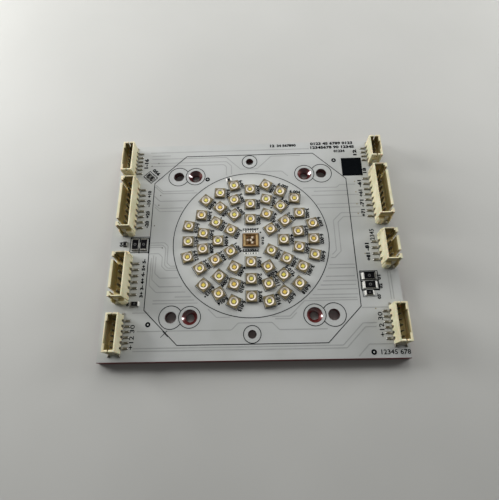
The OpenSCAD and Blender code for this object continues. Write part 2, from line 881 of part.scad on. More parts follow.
module wide_end_cuts(half) {
    // Recess for the tab with the pocket over it, keying slot, grooves in the end and at the foot
    recess_x = [wide_tab_x - foot_recess_w / 2, wide_tab_x + foot_recess_w / 2];
    block(recess_x, [half - tab_t, half + foot_l + cut], [-cut, foot_h + pocket_rise]);
    block([recess_x[0] - pocket_out, recess_x[1]], [half - tab_t, half + cut],
          [foot_h, foot_h + pocket_rise]);
    block([wide_w - wide_outer_wall - cut, wide_w + cut],
          [half - wide_slot_in - wide_slot_w / 2, half - wide_slot_in + wide_slot_w / 2],
          [wide_floor, wide_h + cut]);
    block([wide_w - end_groove[2] - end_groove[0], wide_w - end_groove[2]],
          [half - end_groove[1], half + cut], [foot_h, wide_h + cut]);
    block([-cut, foot_groove[0]], [half - foot_groove[1] / 2, half + foot_groove[1] / 2],
          [-cut, foot_h + foot_groove[0]]);
}

module wide_housing(k) {
    length = wide_length(k);
    half = length / 2;
    row = (wide_pins[k] - 1) * wide_pitch;
    cavity_half = (row + wide_cavity_over) / 2;
    cavity_x = [wide_inner_wall, wide_w - wide_outer_wall];
    color(socket_cream)
        difference() {
            union() {
                block([0, wide_w], [-half, half], [0, wide_h]);
                for (end = [-1, 1])
                    scale_end(end)
                        foot_block(half);
            }
            wide_cavity(cavity_x, cavity_half);
            translate([0, 0, wide_h])
                mouth_bevel([cavity_x[0], cavity_x[1] - corner_block[0]], cavity_half);
            for (end = [-1, 1])
                scale_end(end)
                    wide_end_cuts(half);
            block([-cut, panel_t], [panel_l - half, half - panel_l], [scallop_h, wide_h + cut]);
            leg_openings(wide_pins[k], wide_pitch, wide_pin, wide_pin_x, wide_floor);
        }
}

module wide_tabs(k) {
    color(tin)
        for (end = [-1, 1])
            scale_end(end)
                tab_blank(wide_length(k), wide_tab_span, wide_tab_h);
}

module narrow_housing(k) {
    length = narrow_length(k);
    half = length / 2;
    row = (narrow_pins[k] - 1) * narrow_pitch;
    cavity_half = (row + narrow_cavity_over) / 2;
    cavity_x = [narrow_inner_wall, narrow_w - narrow_outer_wall];
    color(socket_cream)
        difference() {
            block([0, narrow_w], [-half, half], [0, narrow_h]);
            block(cavity_x, [-cavity_half, cavity_half], [narrow_floor, narrow_h + cut]);
            translate([0, 0, narrow_h])
                mouth_bevel(cavity_x, cavity_half);
            block([cavity_x[1] - cut, cavity_x[1] + narrow_recess],
                  [recess_in - row / 2, row / 2 - recess_in], [narrow_floor, narrow_h + cut]);
            for (end = [-1, 1])
                scale_end(end) {
                    block([(narrow_w - narrow_slit_w) / 2, (narrow_w + narrow_slit_w) / 2],
                          [cavity_half - cut, half + cut], [narrow_floor + tab_h, narrow_h + cut]);
                    block([narrow_recess_in[0], narrow_w - narrow_recess_in[1]],
                          [half - tab_t, half + cut], [-cut, narrow_h - narrow_lip]);
                }
            leg_openings(narrow_pins[k], narrow_pitch, narrow_pin, narrow_pin_x, narrow_floor);
        }
}

module narrow_tabs(k) {
    half = narrow_length(k) / 2;
    color(tin)
        for (end = [-1, 1])
            scale_end(end)
                difference() {
                    union() {
                        tab_blank(2 * half, [narrow_tab_in, narrow_w - narrow_tab_in], tab_h);
                        block([narrow_foot_in, narrow_w - narrow_foot_in], [half, half + tab_reach],
                              [pad_t, pad_t + tab_t]);
                    }
                    block([(narrow_w - fork_w) / 2, (narrow_w + fork_w) / 2],
                          [half + fork_bar, half + tab_reach + cut], [-cut, tab_h]);
                }
}

module wide_pins_of(k) {
    socket_pins(wide_pins[k], wide_pitch, wide_pin, wide_pin_x, wide_reach, wide_h - wide_tip_in);
}

module narrow_pins_of(k) {
    socket_pins(narrow_pins[k], narrow_pitch, narrow_pin, narrow_pin_x, narrow_reach,
                narrow_h - narrow_tip_in);
}

copper_plate();
white_layer();
ink_marks();
tin_pads();
led_housings(spoke_places(0));  // led_housings_spoke_1
led_housings(spoke_places(1));  // led_housings_spoke_2
led_housings(spoke_places(2));  // led_housings_spoke_3
led_housings(row_places(0));  // led_housings_row_1
led_housings(row_places(1));  // led_housings_row_2
led_housings(row_places(2));  // led_housings_row_3
led_reflectors(spoke_places(0));  // led_reflectors_spoke_1
led_reflectors(spoke_places(1));  // led_reflectors_spoke_2
led_reflectors(spoke_places(2));  // led_reflectors_spoke_3
led_reflectors(row_places(0));  // led_reflectors_row_1
led_reflectors(row_places(1));  // led_reflectors_row_2
led_reflectors(row_places(2));  // led_reflectors_row_3
led_chips(spoke_places(0));  // led_chips_spoke_1
led_chips(spoke_places(1));  // led_chips_spoke_2
led_chips(spoke_places(2));  // led_chips_spoke_3
led_chips(row_places(0));  // led_chips_row_1
led_chips(row_places(1));  // led_chips_row_2
led_chips(row_places(2));  // led_chips_row_3
led_resin();
emitter_carrier();
emitter_rim();
emitter_bars();
emitter_chips();
power_resistor_cores();
power_resistor_coats();
power_resistor_ends();
chip_cores();
chip_coats();
chip_ends();
at_narrow(0) narrow_housing(0);  // left_socket_1_housing
at_narrow(0) narrow_pins_of(0);  // left_socket_1_pins
at_narrow(0) narrow_tabs(0);  // left_socket_1_tabs
at_wide(0) wide_housing(0);  // left_socket_2_housing
at_wide(0) wide_pins_of(0);  // left_socket_2_pins
at_wide(0) wide_tabs(0);  // left_socket_2_tabs
at_wide(1) wide_housing(1);  // left_socket_3_housing
at_wide(1) wide_pins_of(1);  // left_socket_3_pins
at_wide(1) wide_tabs(1);  // left_socket_3_tabs
at_narrow(1) narrow_housing(1);  // left_socket_4_housing
at_narrow(1) narrow_pins_of(1);  // left_socket_4_pins
at_narrow(1) narrow_tabs(1);  // left_socket_4_tabs
at_narrow(2) narrow_housing(2);  // right_socket_1_housing
at_narrow(2) narrow_pins_of(2);  // right_socket_1_pins
at_narrow(2) narrow_tabs(2);  // right_socket_1_tabs
at_wide(2) wide_housing(2);  // right_socket_2_housing
at_wide(2) wide_pins_of(2);  // right_socket_2_pins
at_wide(2) wide_tabs(2);  // right_socket_2_tabs
at_wide(3) wide_housing(3);  // right_socket_3_housing
at_wide(3) wide_pins_of(3);  // right_socket_3_pins
at_wide(3) wide_tabs(3);  // right_socket_3_tabs
at_narrow(3) narrow_housing(3);  // right_socket_4_housing
at_narrow(3) narrow_pins_of(3);  // right_socket_4_pins
at_narrow(3) narrow_tabs(3);  // right_socket_4_tabs
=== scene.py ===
"""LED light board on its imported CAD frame: finishes, rounded housings, print, tracks, solder and resin.

Metres. Origin: centre of the board's underside. +X is the right edge, +Y the rear edge, +Z up.
"""
import math

import bmesh
import bpy
from mathutils import Euler, Matrix, Vector


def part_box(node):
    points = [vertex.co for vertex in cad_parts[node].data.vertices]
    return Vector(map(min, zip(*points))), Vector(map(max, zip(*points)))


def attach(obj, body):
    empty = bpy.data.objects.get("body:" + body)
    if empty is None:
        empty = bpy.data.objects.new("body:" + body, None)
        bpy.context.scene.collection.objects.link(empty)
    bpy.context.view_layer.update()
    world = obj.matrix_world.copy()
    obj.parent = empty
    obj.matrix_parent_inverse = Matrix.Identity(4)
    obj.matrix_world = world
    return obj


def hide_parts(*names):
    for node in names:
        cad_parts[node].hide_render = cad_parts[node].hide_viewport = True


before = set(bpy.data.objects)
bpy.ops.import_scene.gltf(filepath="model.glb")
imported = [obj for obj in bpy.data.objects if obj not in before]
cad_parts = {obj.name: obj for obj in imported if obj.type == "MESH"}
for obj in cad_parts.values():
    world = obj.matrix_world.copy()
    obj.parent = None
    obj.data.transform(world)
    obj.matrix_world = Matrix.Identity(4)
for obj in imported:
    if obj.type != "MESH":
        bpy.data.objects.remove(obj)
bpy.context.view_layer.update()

MM = 0.001
TOP_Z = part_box("white_layer")[1].z

# Photograph: its frame in pixels, the focal length found for it and where it was taken from
PHOTO_SIZE = (499, 500)
FOCAL_PIXELS = 388.3
CAMERA_AT = (2.86 * MM, -60.1 * MM, 145.6 * MM)
CAMERA_TURN = (21.43, 1.68, -0.77)
SENSOR_WIDTH = 36.0

# Print and covered tracks: widths, thicknesses, length of a bend, and middle height of the print
INK_W = 0.2 * MM
INK_T = 0.04 * MM
TRACE_W = 0.42 * MM
TRACE_T = 0.02 * MM
TRACE_BEND = 0.9 * MM
INK_Z = TOP_Z + INK_T / 2


def srgb(red, green, blue):
    """Linear colour of three 0 to 255 display values"""
    def linear(value):
        share = value / 255
        return share / 12.92 if share <= 0.04045 else ((share + 0.055) / 1.055) ** 2.4
    return (linear(red), linear(green), linear(blue), 1.0)


# Finishes

def object_coordinates(nodes, links, stretch=(1, 1, 1)):
    """Object coordinates, stretched along an axis by a Mapping node"""
    coordinates = nodes.new("ShaderNodeTexCoord")
    mapping = nodes.new("ShaderNodeMapping")
    mapping.inputs["Scale"].default_value = stretch
    links.new(coordinates.outputs["Object"], mapping.inputs["Vector"])
    return mapping.outputs["Vector"]


def noise(nodes, links, vector, size, detail=3.0, roughness=0.5):
    """Noise whose patches are about SIZE metres across"""
    node = nodes.new("ShaderNodeTexNoise")
    node.inputs["Scale"].default_value = 1 / size
    node.inputs["Detail"].default_value = detail
    node.inputs["Roughness"].default_value = roughness
    links.new(vector, node.inputs["Vector"])
    return node.outputs["Fac"]


def fed(links, socket, value):
    """Links an output to a socket, or sets the socket to a plain value"""
    if isinstance(value, bpy.types.NodeSocket):
        links.new(value, socket)
    else:
        socket.default_value = value


def mixed(nodes, links, factor, first, second):
    """A colour between two colours or colour outputs"""
    node = nodes.new("ShaderNodeMix")
    node.data_type = "RGBA"
    links.new(factor, node.inputs["Factor"])
    for socket, value in (("A", first), ("B", second)):
        fed(links, [s for s in node.inputs if s.name == socket and s.type == "RGBA"][0], value)
    return [s for s in node.outputs if s.type == "RGBA"][0]


def worked_out(nodes, links, operation, first, second=0.0):
    """The result of a Math node"""
    node = nodes.new("ShaderNodeMath")
    node.operation = operation
    fed(links, node.inputs[0], first)
    fed(links, node.inputs[1], second)
    return node.outputs[0]


def ranged(nodes, links, value, low, high, to_low=0.0, to_high=1.0):
    """VALUE from LOW to HIGH, clamped and carried to another range"""
    node = nodes.new("ShaderNodeMapRange")
    node.inputs["From Min"].default_value = low
    node.inputs["From Max"].default_value = high
    node.inputs["To Min"].default_value = to_low
    node.inputs["To Max"].default_value = to_high
    links.new(value, node.inputs["Value"])
    return node.outputs["Result"]


def along(nodes, links, letter):
    """The surface's own coordinate along the axis that LETTER names"""
    axes = nodes.new("ShaderNodeSeparateXYZ")
    links.new(object_coordinates(nodes, links), axes.inputs[0])
    return axes.outputs[letter]


def opened(material):
    """The nodes, the links and the shader of a material"""
    nodes, links = material.node_tree.nodes, material.node_tree.links
    return nodes, links, nodes["Principled BSDF"]


# Noise values between which the tone and the roughness change
TONE_EDGES = (0.35, 0.65)
ROUGHNESS_EDGES = (0.3, 0.7)
BUMP_STRENGTH = 0.6


def finish(name, light, dark, patch, roughness, bump_size, bump_depth, stretch=(1, 1, 1), **fixed):
    """A surface of two tones in PATCH-sized clouds, with its roughness following them and a fine bump"""
    material = bpy.data.materials.new(name)
    material.use_nodes = True
    nodes, links, shader = opened(material)
    for socket, value in fixed.items():
        label = socket.replace("_", " ").title().replace("Ior", "IOR")
        shader.inputs[label].default_value = value
    vector = object_coordinates(nodes, links, stretch)
    clouds = noise(nodes, links, vector, patch)
    tone = mixed(nodes, links, ranged(nodes, links, clouds, *TONE_EDGES), dark, light)
    links.new(tone, shader.inputs["Base Color"])
    links.new(ranged(nodes, links, clouds, *ROUGHNESS_EDGES, *roughness), shader.inputs["Roughness"])
    grain = noise(nodes, links, vector, bump_size, detail=2.0)
    bump = nodes.new("ShaderNodeBump")
    bump.inputs["Strength"].default_value = BUMP_STRENGTH
    bump.inputs["Distance"].default_value = bump_depth
    links.new(grain, bump.inputs["Height"])
    links.new(bump.outputs["Normal"], shader.inputs["Normal"])
    return material


def recoloured(material, share, colour):
    """Gives MATERIAL another colour where SHARE is 1"""
    nodes, links, shader = opened(material)
    tone = shader.inputs["Base Color"].links[0].from_socket
    links.new(mixed(nodes, links, share, tone, colour), shader.inputs["Base Color"])
    return material


def near_places(nodes, links, places, reach):
    """1 within REACH metres, in plan, of any of the places given in millimetres"""
    plan = object_coordinates(nodes, links, stretch=(1, 1, 0))
    share = 0.0
    for x, y in places:
        gap = nodes.new("ShaderNodeVectorMath")
        gap.operation = "DISTANCE"
        gap.inputs[1].default_value = (x * MM, y * MM, 0)
        links.new(plan, gap.inputs[0])
        near = worked_out(nodes, links, "LESS_THAN", gap.outputs["Value"], reach)
        share = worked_out(nodes, links, "MAXIMUM", share, near)
    return share


def spotted(material, places, reach, colour, metallic):
    """Gives what lies near some places another colour and metallic share"""
    nodes, links, shader = opened(material)
    share = near_places(nodes, links, places, reach)
    shine = nodes.new("ShaderNodeMix")
    shine.inputs["A"].default_value = shader.inputs["Metallic"].default_value
    shine.inputs["B"].default_value = metallic
    links.new(share, shine.inputs["Factor"])
    if shader.inputs["Metallic"].links:
        links.new(shader.inputs["Metallic"].links[0].from_socket, shine.inputs["A"])
    links.new(shine.outputs["Result"], shader.inputs["Metallic"])
    return recoloured(material, share, colour)


# In from the plate's front face: its edge is dull up to the first depth, and glossy from the second
DULL_EDGE = (0.2 * MM, 0.6 * MM)
EDGE_COPPER = srgb(108, 26, 26)


def copper_finish():
    """Dark copper with the cutter's level lines, glossy in its holes and dull on its front edge"""
    copper = finish("dark_copper", srgb(118, 34, 32), srgb(70, 19, 18), 6 * MM, (0.35, 0.5),
                    0.3 * MM, 0.03 * MM, stretch=(0.15, 0.15, 3.0), metallic=0.5,
                    coat_weight=1.0, coat_ior=2.0, coat_roughness=0.12)
    nodes, links, shader = opened(copper)
    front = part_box("copper_plate")[0].y
    start, end = front + DULL_EDGE[0], front + DULL_EDGE[1]
    depth = along(nodes, links, "Y")
    inner = ranged(nodes, links, depth, start, end)
    for label in ("Coat Weight", "Metallic"):
        socket = shader.inputs[label]
        links.new(worked_out(nodes, links, "MULTIPLY", inner, socket.default_value), socket)
    return recoloured(copper, ranged(nodes, links, depth, end, start), EDGE_COPPER)


# The mask is worn off up to the first distance from its front edge, and whole from the second
WORN_EDGE = (0.18 * MM, 0.24 * MM)
WORN_COPPER = srgb(70, 20, 20)
# Painted light makes it paler up to the first distance from the board's middle, where the LEDs shade it,
# and plain from the second
PAINTED_LIGHT_FIELD = (25 * MM, 31 * MM)
PAINTED_LIGHT_MASK = srgb(198, 200, 196)


def board_face_finish():
    """White solder mask: satin, with painted light making it a little paler among the LEDs, worn to
    copper on its front edge
    """
    mask = finish("white_mask", srgb(174, 176, 174), srgb(168, 170, 167), 14 * MM, (0.38, 0.5),
                  0.5 * MM, 0.004 * MM)
    nodes, links, _ = opened(mask)
    reach = nodes.new("ShaderNodeVectorMath")
    reach.operation = "LENGTH"
    links.new(object_coordinates(nodes, links, stretch=(1, 1, 0)), reach.inputs[0])
    among = ranged(nodes, links, reach.outputs["Value"], PAINTED_LIGHT_FIELD[1], PAINTED_LIGHT_FIELD[0])
    # Painted light that makes the mask paler among the LEDs
    recoloured(mask, among, PAINTED_LIGHT_MASK)
    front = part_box("white_layer")[0].y
    worn = ranged(nodes, links, along(nodes, links, "Y"), front + WORN_EDGE[1], front + WORN_EDGE[0])
    return recoloured(mask, worn, WORN_COPPER)


def covered_gap_finish():
    """The mask where it dips over a gap between two tracks"""
    return finish("mask_over_gaps", srgb(153, 155, 152), srgb(146, 148, 146), 3 * MM, (0.45, 0.6),
                  0.5 * MM, 0.004 * MM)


def ink_finish():
    """Black print, slightly patchy"""
    return finish("black_print", srgb(9, 12, 16), srgb(4, 7, 10), 0.8 * MM, (0.6, 0.75),
                  0.2 * MM, 0.004 * MM, specular_ior_level=0.02)


def chip_coat_finish():
    """Black glaze over a chip resistor"""
    return finish("black_glaze", srgb(14, 14, 17), srgb(6, 6, 9), 0.6 * MM, (0.35, 0.5),
                  0.3 * MM, 0.005 * MM, specular_ior_level=0.08)


# Chip ends and pads with a painted highlight: X and Y in millimetres
GLINT_ENDS = [(42.55, -15.8), (42.55, -19.3), (47.05, -19.3), (42.8, -22.4), (45.6, -22.4),
               (-42.8, -24.9), (-8.1, 28.3), (-9.7, 27.9)]
# Small chips whose ends look dark
DARK_ENDS = [(-42.55, 30.55), (-50.4, -0.4)]
# Pads round the emitter, which take the same painted highlight
EMITTER_PADS = [(0, 3.9), (-2.2, 3.9), (2.2, 3.9), (0, -5.45), (-2.2, -5.45), (2.2, -5.45)]
# Colour of the painted highlight on tin and solder
PAINTED_GLINT_TIN = srgb(238, 237, 231)


def tin_finish():
    """Tin with dull frosted patches, and a painted highlight on the listed chip ends and the pads round
    the emitter
    """
    tin = finish("dull_tin", srgb(152, 150, 143), srgb(108, 105, 97), 0.5 * MM, (0.3, 0.5),
                 0.25 * MM, 0.02 * MM, metallic=0.8)
    spotted(tin, DARK_ENDS, 2.3 * MM, srgb(58, 56, 52), 0.5)
    # Painted highlight on the listed chip ends and the emitter's pads
    return spotted(tin, GLINT_ENDS + EMITTER_PADS, 1.4 * MM, PAINTED_GLINT_TIN, 0.25)


def glint_solder_finish():
    """Small solder heaps, near white as a painted highlight"""
    return finish("bright_solder", PAINTED_GLINT_TIN, srgb(206, 204, 196), 0.5 * MM, (0.25, 0.4),
                  0.2 * MM, 0.01 * MM, metallic=0.3)


def dark_solder_finish():
    """Solder round the legs, dark with old flux"""
    return finish("dark_solder", srgb(122, 118, 106), srgb(74, 71, 62), 0.5 * MM, (0.3, 0.5),
                  0.2 * MM, 0.02 * MM, metallic=0.6)


def pin_finish():
    """Tarnished pins and legs"""
    return finish("pin_tin", srgb(132, 128, 112), srgb(86, 82, 70), 0.7 * MM, (0.5, 0.65),
                  0.2 * MM, 0.01 * MM, stretch=(1, 1, 0.3), metallic=0.6)


def tab_finish():
    """Tinned tabs at the sockets' ends"""
    return finish("tab_tin", srgb(212, 208, 192), srgb(176, 171, 152), 0.7 * MM, (0.35, 0.5),
                  0.2 * MM, 0.01 * MM, metallic=0.1)


def led_housing_finish():
    """Tan moulded LED body"""
    return finish("tan_moulding", srgb(133, 119, 81), srgb(96, 85, 54), 1.2 * MM, (0.45, 0.65),
                  0.12 * MM, 0.008 * MM)


# Painted light: whiter colour at the cup's bottom, and the share of its height over which it fades out
CUP_PAINTED_LIGHT = srgb(250, 247, 242)
CUP_LIGHT_FADE = 0.6


def led_reflector_finish():
    """Pinkish white lining of the LED's cup, with painted light making it whiter at its bottom"""
    lining = finish("cup_lining", srgb(231, 222, 208), srgb(219, 209, 193), 0.9 * MM, (0.5, 0.65),
                    0.2 * MM, 0.004 * MM)
    nodes, links, _ = opened(lining)
    low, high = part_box("led_reflectors_row_1")
    top = low.z + (high.z - low.z) * CUP_LIGHT_FADE
    # Painted light: whiter towards the cup's bottom, where its walls shade it
    return recoloured(lining, ranged(nodes, links, along(nodes, links, "Z"), top, low.z), CUP_PAINTED_LIGHT)


def led_chip_finish():
    """Yellow phosphor over the chip, greener or more orange from LED to LED"""
    return finish("phosphor", srgb(218, 212, 84), srgb(220, 178, 68), 4.5 * MM, (0.35, 0.5),
                  0.08 * MM, 0.006 * MM)


def resin_finish():
    """Clear resin in the cups: seen through, with a gloss of its own"""
    return finish("clear_resin", srgb(224, 214, 198), srgb(214, 202, 182), 1.5 * MM, (0.2, 0.3),
                  0.6 * MM, 0.004 * MM, alpha=0.06, ior=1.5, specular_ior_level=0.2)


def gold_finish():
    """Brownish gilded frame of the emitter"""
    return finish("gilding", srgb(176, 142, 92), srgb(132, 104, 62), 1.1 * MM, (0.35, 0.5),
                  0.15 * MM, 0.008 * MM, metallic=0.3)


def bright_gold_finish():
    """Polished bars beside the emitter's chips"""
    return finish("bright_gilding", srgb(236, 212, 160), srgb(214, 184, 128), 0.9 * MM, (0.25, 0.4),
                  0.15 * MM, 0.004 * MM, metallic=0.2)


# Emitter chips that catch the light: X and Y in millimetres
BRIGHT_CHIPS = [(-1.25, 0), (0, 0), (0.625, 1.08), (0.625, -1.08)]


def emitter_chip_finish():
    """Emitter chips: four pale ones, the rest dark"""
    chips = finish("emitter_chips", srgb(58, 42, 12), srgb(36, 26, 8), 0.8 * MM, (0.2, 0.35),
                   0.1 * MM, 0.004 * MM)
    return spotted(chips, BRIGHT_CHIPS, 0.6 * MM, srgb(236, 226, 204), 0.0)


def ceramic_finish():
    """White ceramic core of a chip"""
    return finish("chip_ceramic", srgb(214, 212, 204), srgb(196, 193, 184), 0.7 * MM, (0.45, 0.6),
                  0.1 * MM, 0.005 * MM)


def socket_finish():
    """Cream nylon, moulded with a fine texture and slightly cloudy"""
    return finish("cream_nylon", srgb(218, 212, 180), srgb(203, 196, 161), 5 * MM, (0.42, 0.58),
                  0.25 * MM, 0.012 * MM, subsurface_weight=0.12, subsurface_scale=0.6 * MM)


# Below a housing's top: where painted shade turns its cavity brown, and where painted light makes that
# brown paler deeper down
CAVITY_MOUTH = (0.1 * MM, 0.5 * MM)
CAVITY_DEPTH = (1.0 * MM, 4.5 * MM)
# In from a housing's sides: where the painted shade of its cavity begins
CAVITY_WALL = (0.2 * MM, 0.4 * MM)
CAVITY_PAINTED_SHADE = srgb(134, 121, 78)
CAVITY_FLOOR_PAINTED_LIGHT = srgb(206, 188, 130)


def shaded_cavity_finish(name):
    """The same nylon with painted shade: brown in the cavity of the socket that NAME is the housing of,
    with painted light making it paler towards the cavity's floor
    """
    low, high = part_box(name)
    nylon = socket_finish()
    nodes, links, _ = opened(nylon)
    height = along(nodes, links, "Z")
    inside = ranged(nodes, links, height, high.z - CAVITY_MOUTH[0], high.z - CAVITY_MOUTH[1])
    deep = ranged(nodes, links, height, high.z - CAVITY_DEPTH[0], high.z - CAVITY_DEPTH[1])
    for axis, letter in enumerate("XY"):
        middle, edge = (low[axis] + high[axis]) / 2, (high[axis] - low[axis]) / 2
        offset = worked_out(nodes, links, "SUBTRACT", along(nodes, links, letter), middle)
        reach = worked_out(nodes, links, "ABSOLUTE", offset)
        within = ranged(nodes, links, reach, edge - CAVITY_WALL[0], edge - CAVITY_WALL[1])
        inside = worked_out(nodes, links, "MULTIPLY", inside, within)
    # Painted shade in the cavity, lifted by painted light towards its floor
    return recoloured(nylon, inside, mixed(nodes, links, deep, CAVITY_PAINTED_SHADE, CAVITY_FLOOR_PAINTED_LIGHT))


def film_finish():
    """Dark brown film between the emitter's chips"""
    return finish("brown_film", srgb(124, 86, 34), srgb(88, 56, 20), 0.9 * MM, (0.25, 0.4),
                  0.2 * MM, 0.004 * MM)


def pane_finish():
    """Clear pane with a brown tint"""
    return finish("brown_pane", srgb(112, 84, 50), srgb(90, 66, 38), 2.0 * MM, (0.2, 0.3),
                  0.8 * MM, 0.002 * MM, alpha=0.06, ior=1.5, specular_ior_level=0.2)


def seam_finish():
    """Brown seam where the lining meets the moulding"""
    return finish("brown_seam", srgb(82, 66, 42), srgb(58, 46, 28), 1.0 * MM, (0.5, 0.65),
                  0.1 * MM, 0.004 * MM)


def test_point_finish():
    """Tarnished test points: grey on the left of the board, olive on its right"""
    points = finish("tarnish", srgb(96, 94, 88), srgb(82, 80, 74), 2 * MM, (0.5, 0.65),
                    0.1 * MM, 0.004 * MM)
    nodes, links, _ = opened(points)
    right = ranged(nodes, links, along(nodes, links, "X"), -5 * MM, 5 * MM)
    return recoloured(points, right, srgb(140, 132, 105))


def white_ink_finish():
    """Thin grey digits on the chip resistors"""
    return finish("grey_print", srgb(112, 112, 110), srgb(84, 84, 82), 0.4 * MM, (0.5, 0.6),
                  0.1 * MM, 0.003 * MM)


FINISHES = {
    "copper": copper_finish(),
    "board_face": board_face_finish(),
    "black": ink_finish(),
    "tin": tin_finish(),
    "led_housing": led_housing_finish(),
    "led_reflector": led_reflector_finish(),
    "led_chip": led_chip_finish(),
    "resin": resin_finish(),
    "gold": gold_finish(),
    "emitter_chip": emitter_chip_finish(),
    "ceramic": ceramic_finish(),
    "socket_plastic": socket_finish(),
    "pin_metal": pin_finish(),
}


def dress_nodes():
    """Every CAD node takes the finish of its material slot"""
    glaze, tabs = chip_coat_finish(), tab_finish()
    for name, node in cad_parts.items():
        slot_name = node.data.materials[0].name.split(".")[0]
        own = FINISHES[slot_name]
        if name.endswith("_coats"):
            own = glaze
        elif name.endswith("_housing"):
            own = shaded_cavity_finish(name)
        elif name.endswith("_tabs"):
            own = tabs
        elif name == "emitter_bars":
            own = bright_gold_finish()
        node.data.materials[0] = own


# Reading the frame

# Points nearer than this are one point
SAME_PLACE = 0.001 * MM


def islands(node):
    """The separate solids of a node, each as its points, in the order of the node's own points"""
    mesh = bmesh.new()
    mesh.from_mesh(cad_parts[node].data)
    bmesh.ops.remove_doubles(mesh, verts=mesh.verts, dist=SAME_PLACE)
    seen = set()
    found = []
    for first in mesh.verts:
        group, reach = [], [first]
        while reach:
            vertex = reach.pop()
            if vertex not in seen:
                seen.add(vertex)
                group.append(vertex.co.copy())
                reach += [edge.other_vert(vertex) for edge in vertex.link_edges]
        if group:
            found.append(group)
    mesh.free()
    return found


def corners(points):
    """Lowest and highest corner of some points"""
    low = Vector([min(p[axis] for p in points) for axis in range(3)])
    high = Vector([max(p[axis] for p in points) for axis in range(3)])
    return low, high


def square_turn(points, centre):
    """Turn of a square solid in radians, between -45 and 45 degrees, from its farthest corner"""
    corner = max(points, key=lambda p: (p.xy - centre.xy).length)
    angle = math.atan2(corner.y - centre.y, corner.x - centre.x) - math.pi / 4
    return (angle + math.pi / 4) % (math.pi / 2) - math.pi / 4


SPOKE_RINGS = ("spoke_1", "spoke_2", "spoke_3")
ROW_RINGS = ("row_1", "row_2", "row_3")


def led_places():
    """Every LED as (ring, number in its ring, middle, turn), counted anticlockwise from -30 degrees"""
    places = []
    for ring in SPOKE_RINGS + ROW_RINGS:
        found = []
        for points in islands("led_chips_" + ring):
            low, high = corners(points)
            centre = (low + high) / 2
            found.append((centre, square_turn(points, centre)))
        found.sort(key=lambda item: (math.atan2(item[0].y, item[0].x) + math.pi / 6) % math.tau)
        places += [(ring, number, centre, turn) for number, (centre, turn) in enumerate(found)]
    return places


LEDS = led_places()


# Building pieces

def new_object(name, mesh):
    """An object of the scene at its origin"""
    piece = bpy.data.objects.new(name, mesh)
    bpy.context.scene.collection.objects.link(piece)
    return piece


def settled(piece, slot, *replaced):
    """Gives a finished piece its body and hides the nodes that it stands for; SLOT is not used"""
    if replaced:
        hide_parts(*replaced)
    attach(piece, "root")
    return piece


def lines_mesh(name, paths):
    """Open polylines as a mesh of edges"""
    points, edges = [], []
    for path in paths:
        first = len(points)
        points += [Vector(p) for p in path]
        edges += [(first + i, first + i + 1) for i in range(len(path) - 1)]
    mesh = bpy.data.meshes.new(name)
    mesh.from_pydata(points, edges, [])
    return mesh


def points_mesh(name, places, sizes=None):
    """Points that carry a size each, which is 1 where none is given"""
    mesh = bpy.data.meshes.new(name)
    mesh.from_pydata(places, [], [])
    size = mesh.attributes.new("size", "FLOAT_VECTOR", "POINT")
    size.data.foreach_set("vector", [v for box in sizes or [(1, 1, 1)] * len(places) for v in box])
    return mesh


def mesh_of(name, built, material=None):
    """A finished bmesh as mesh data"""
    data = bpy.data.meshes.new(name)
    built.to_mesh(data)
    built.free()
    if material:
        data.materials.append(material)
    return data


def evaluated_mesh(carrier):
    """The evaluated shape of an object as a plain mesh. The object goes, with its modifiers"""
    depsgraph = bpy.context.evaluated_depsgraph_get()
    mesh = bpy.data.meshes.new_from_object(carrier.evaluated_get(depsgraph))
    carrier.modifiers.clear()
    bpy.data.objects.remove(carrier)
    return mesh


def add_slab(name, low, high, corner, look, slot):
    """A flat block with rounded upright edges"""
    mesh = bmesh.new()
    bmesh.ops.create_cube(mesh, size=1.0)
    for vertex in mesh.verts:
        vertex.co = Vector([low[i] if vertex.co[i] < 0 else high[i] for i in range(3)])
    upright = [e for e in mesh.edges if abs(e.verts[0].co.z - e.verts[1].co.z) > SAME_PLACE]
    bmesh.ops.bevel(mesh, geom=upright, offset=corner, segments=4, profile=0.5, affect="EDGES")
    settled(new_object(name, mesh_of(name, mesh, look)), slot)


def disc(radius, thickness, sides=16):
    """A thin upright disc about the origin"""
    mesh = bmesh.new()
    bmesh.ops.create_cone(mesh, cap_ends=True, segments=sides, radius1=radius, radius2=radius,
                          depth=thickness)
    return mesh_of("disc", mesh)


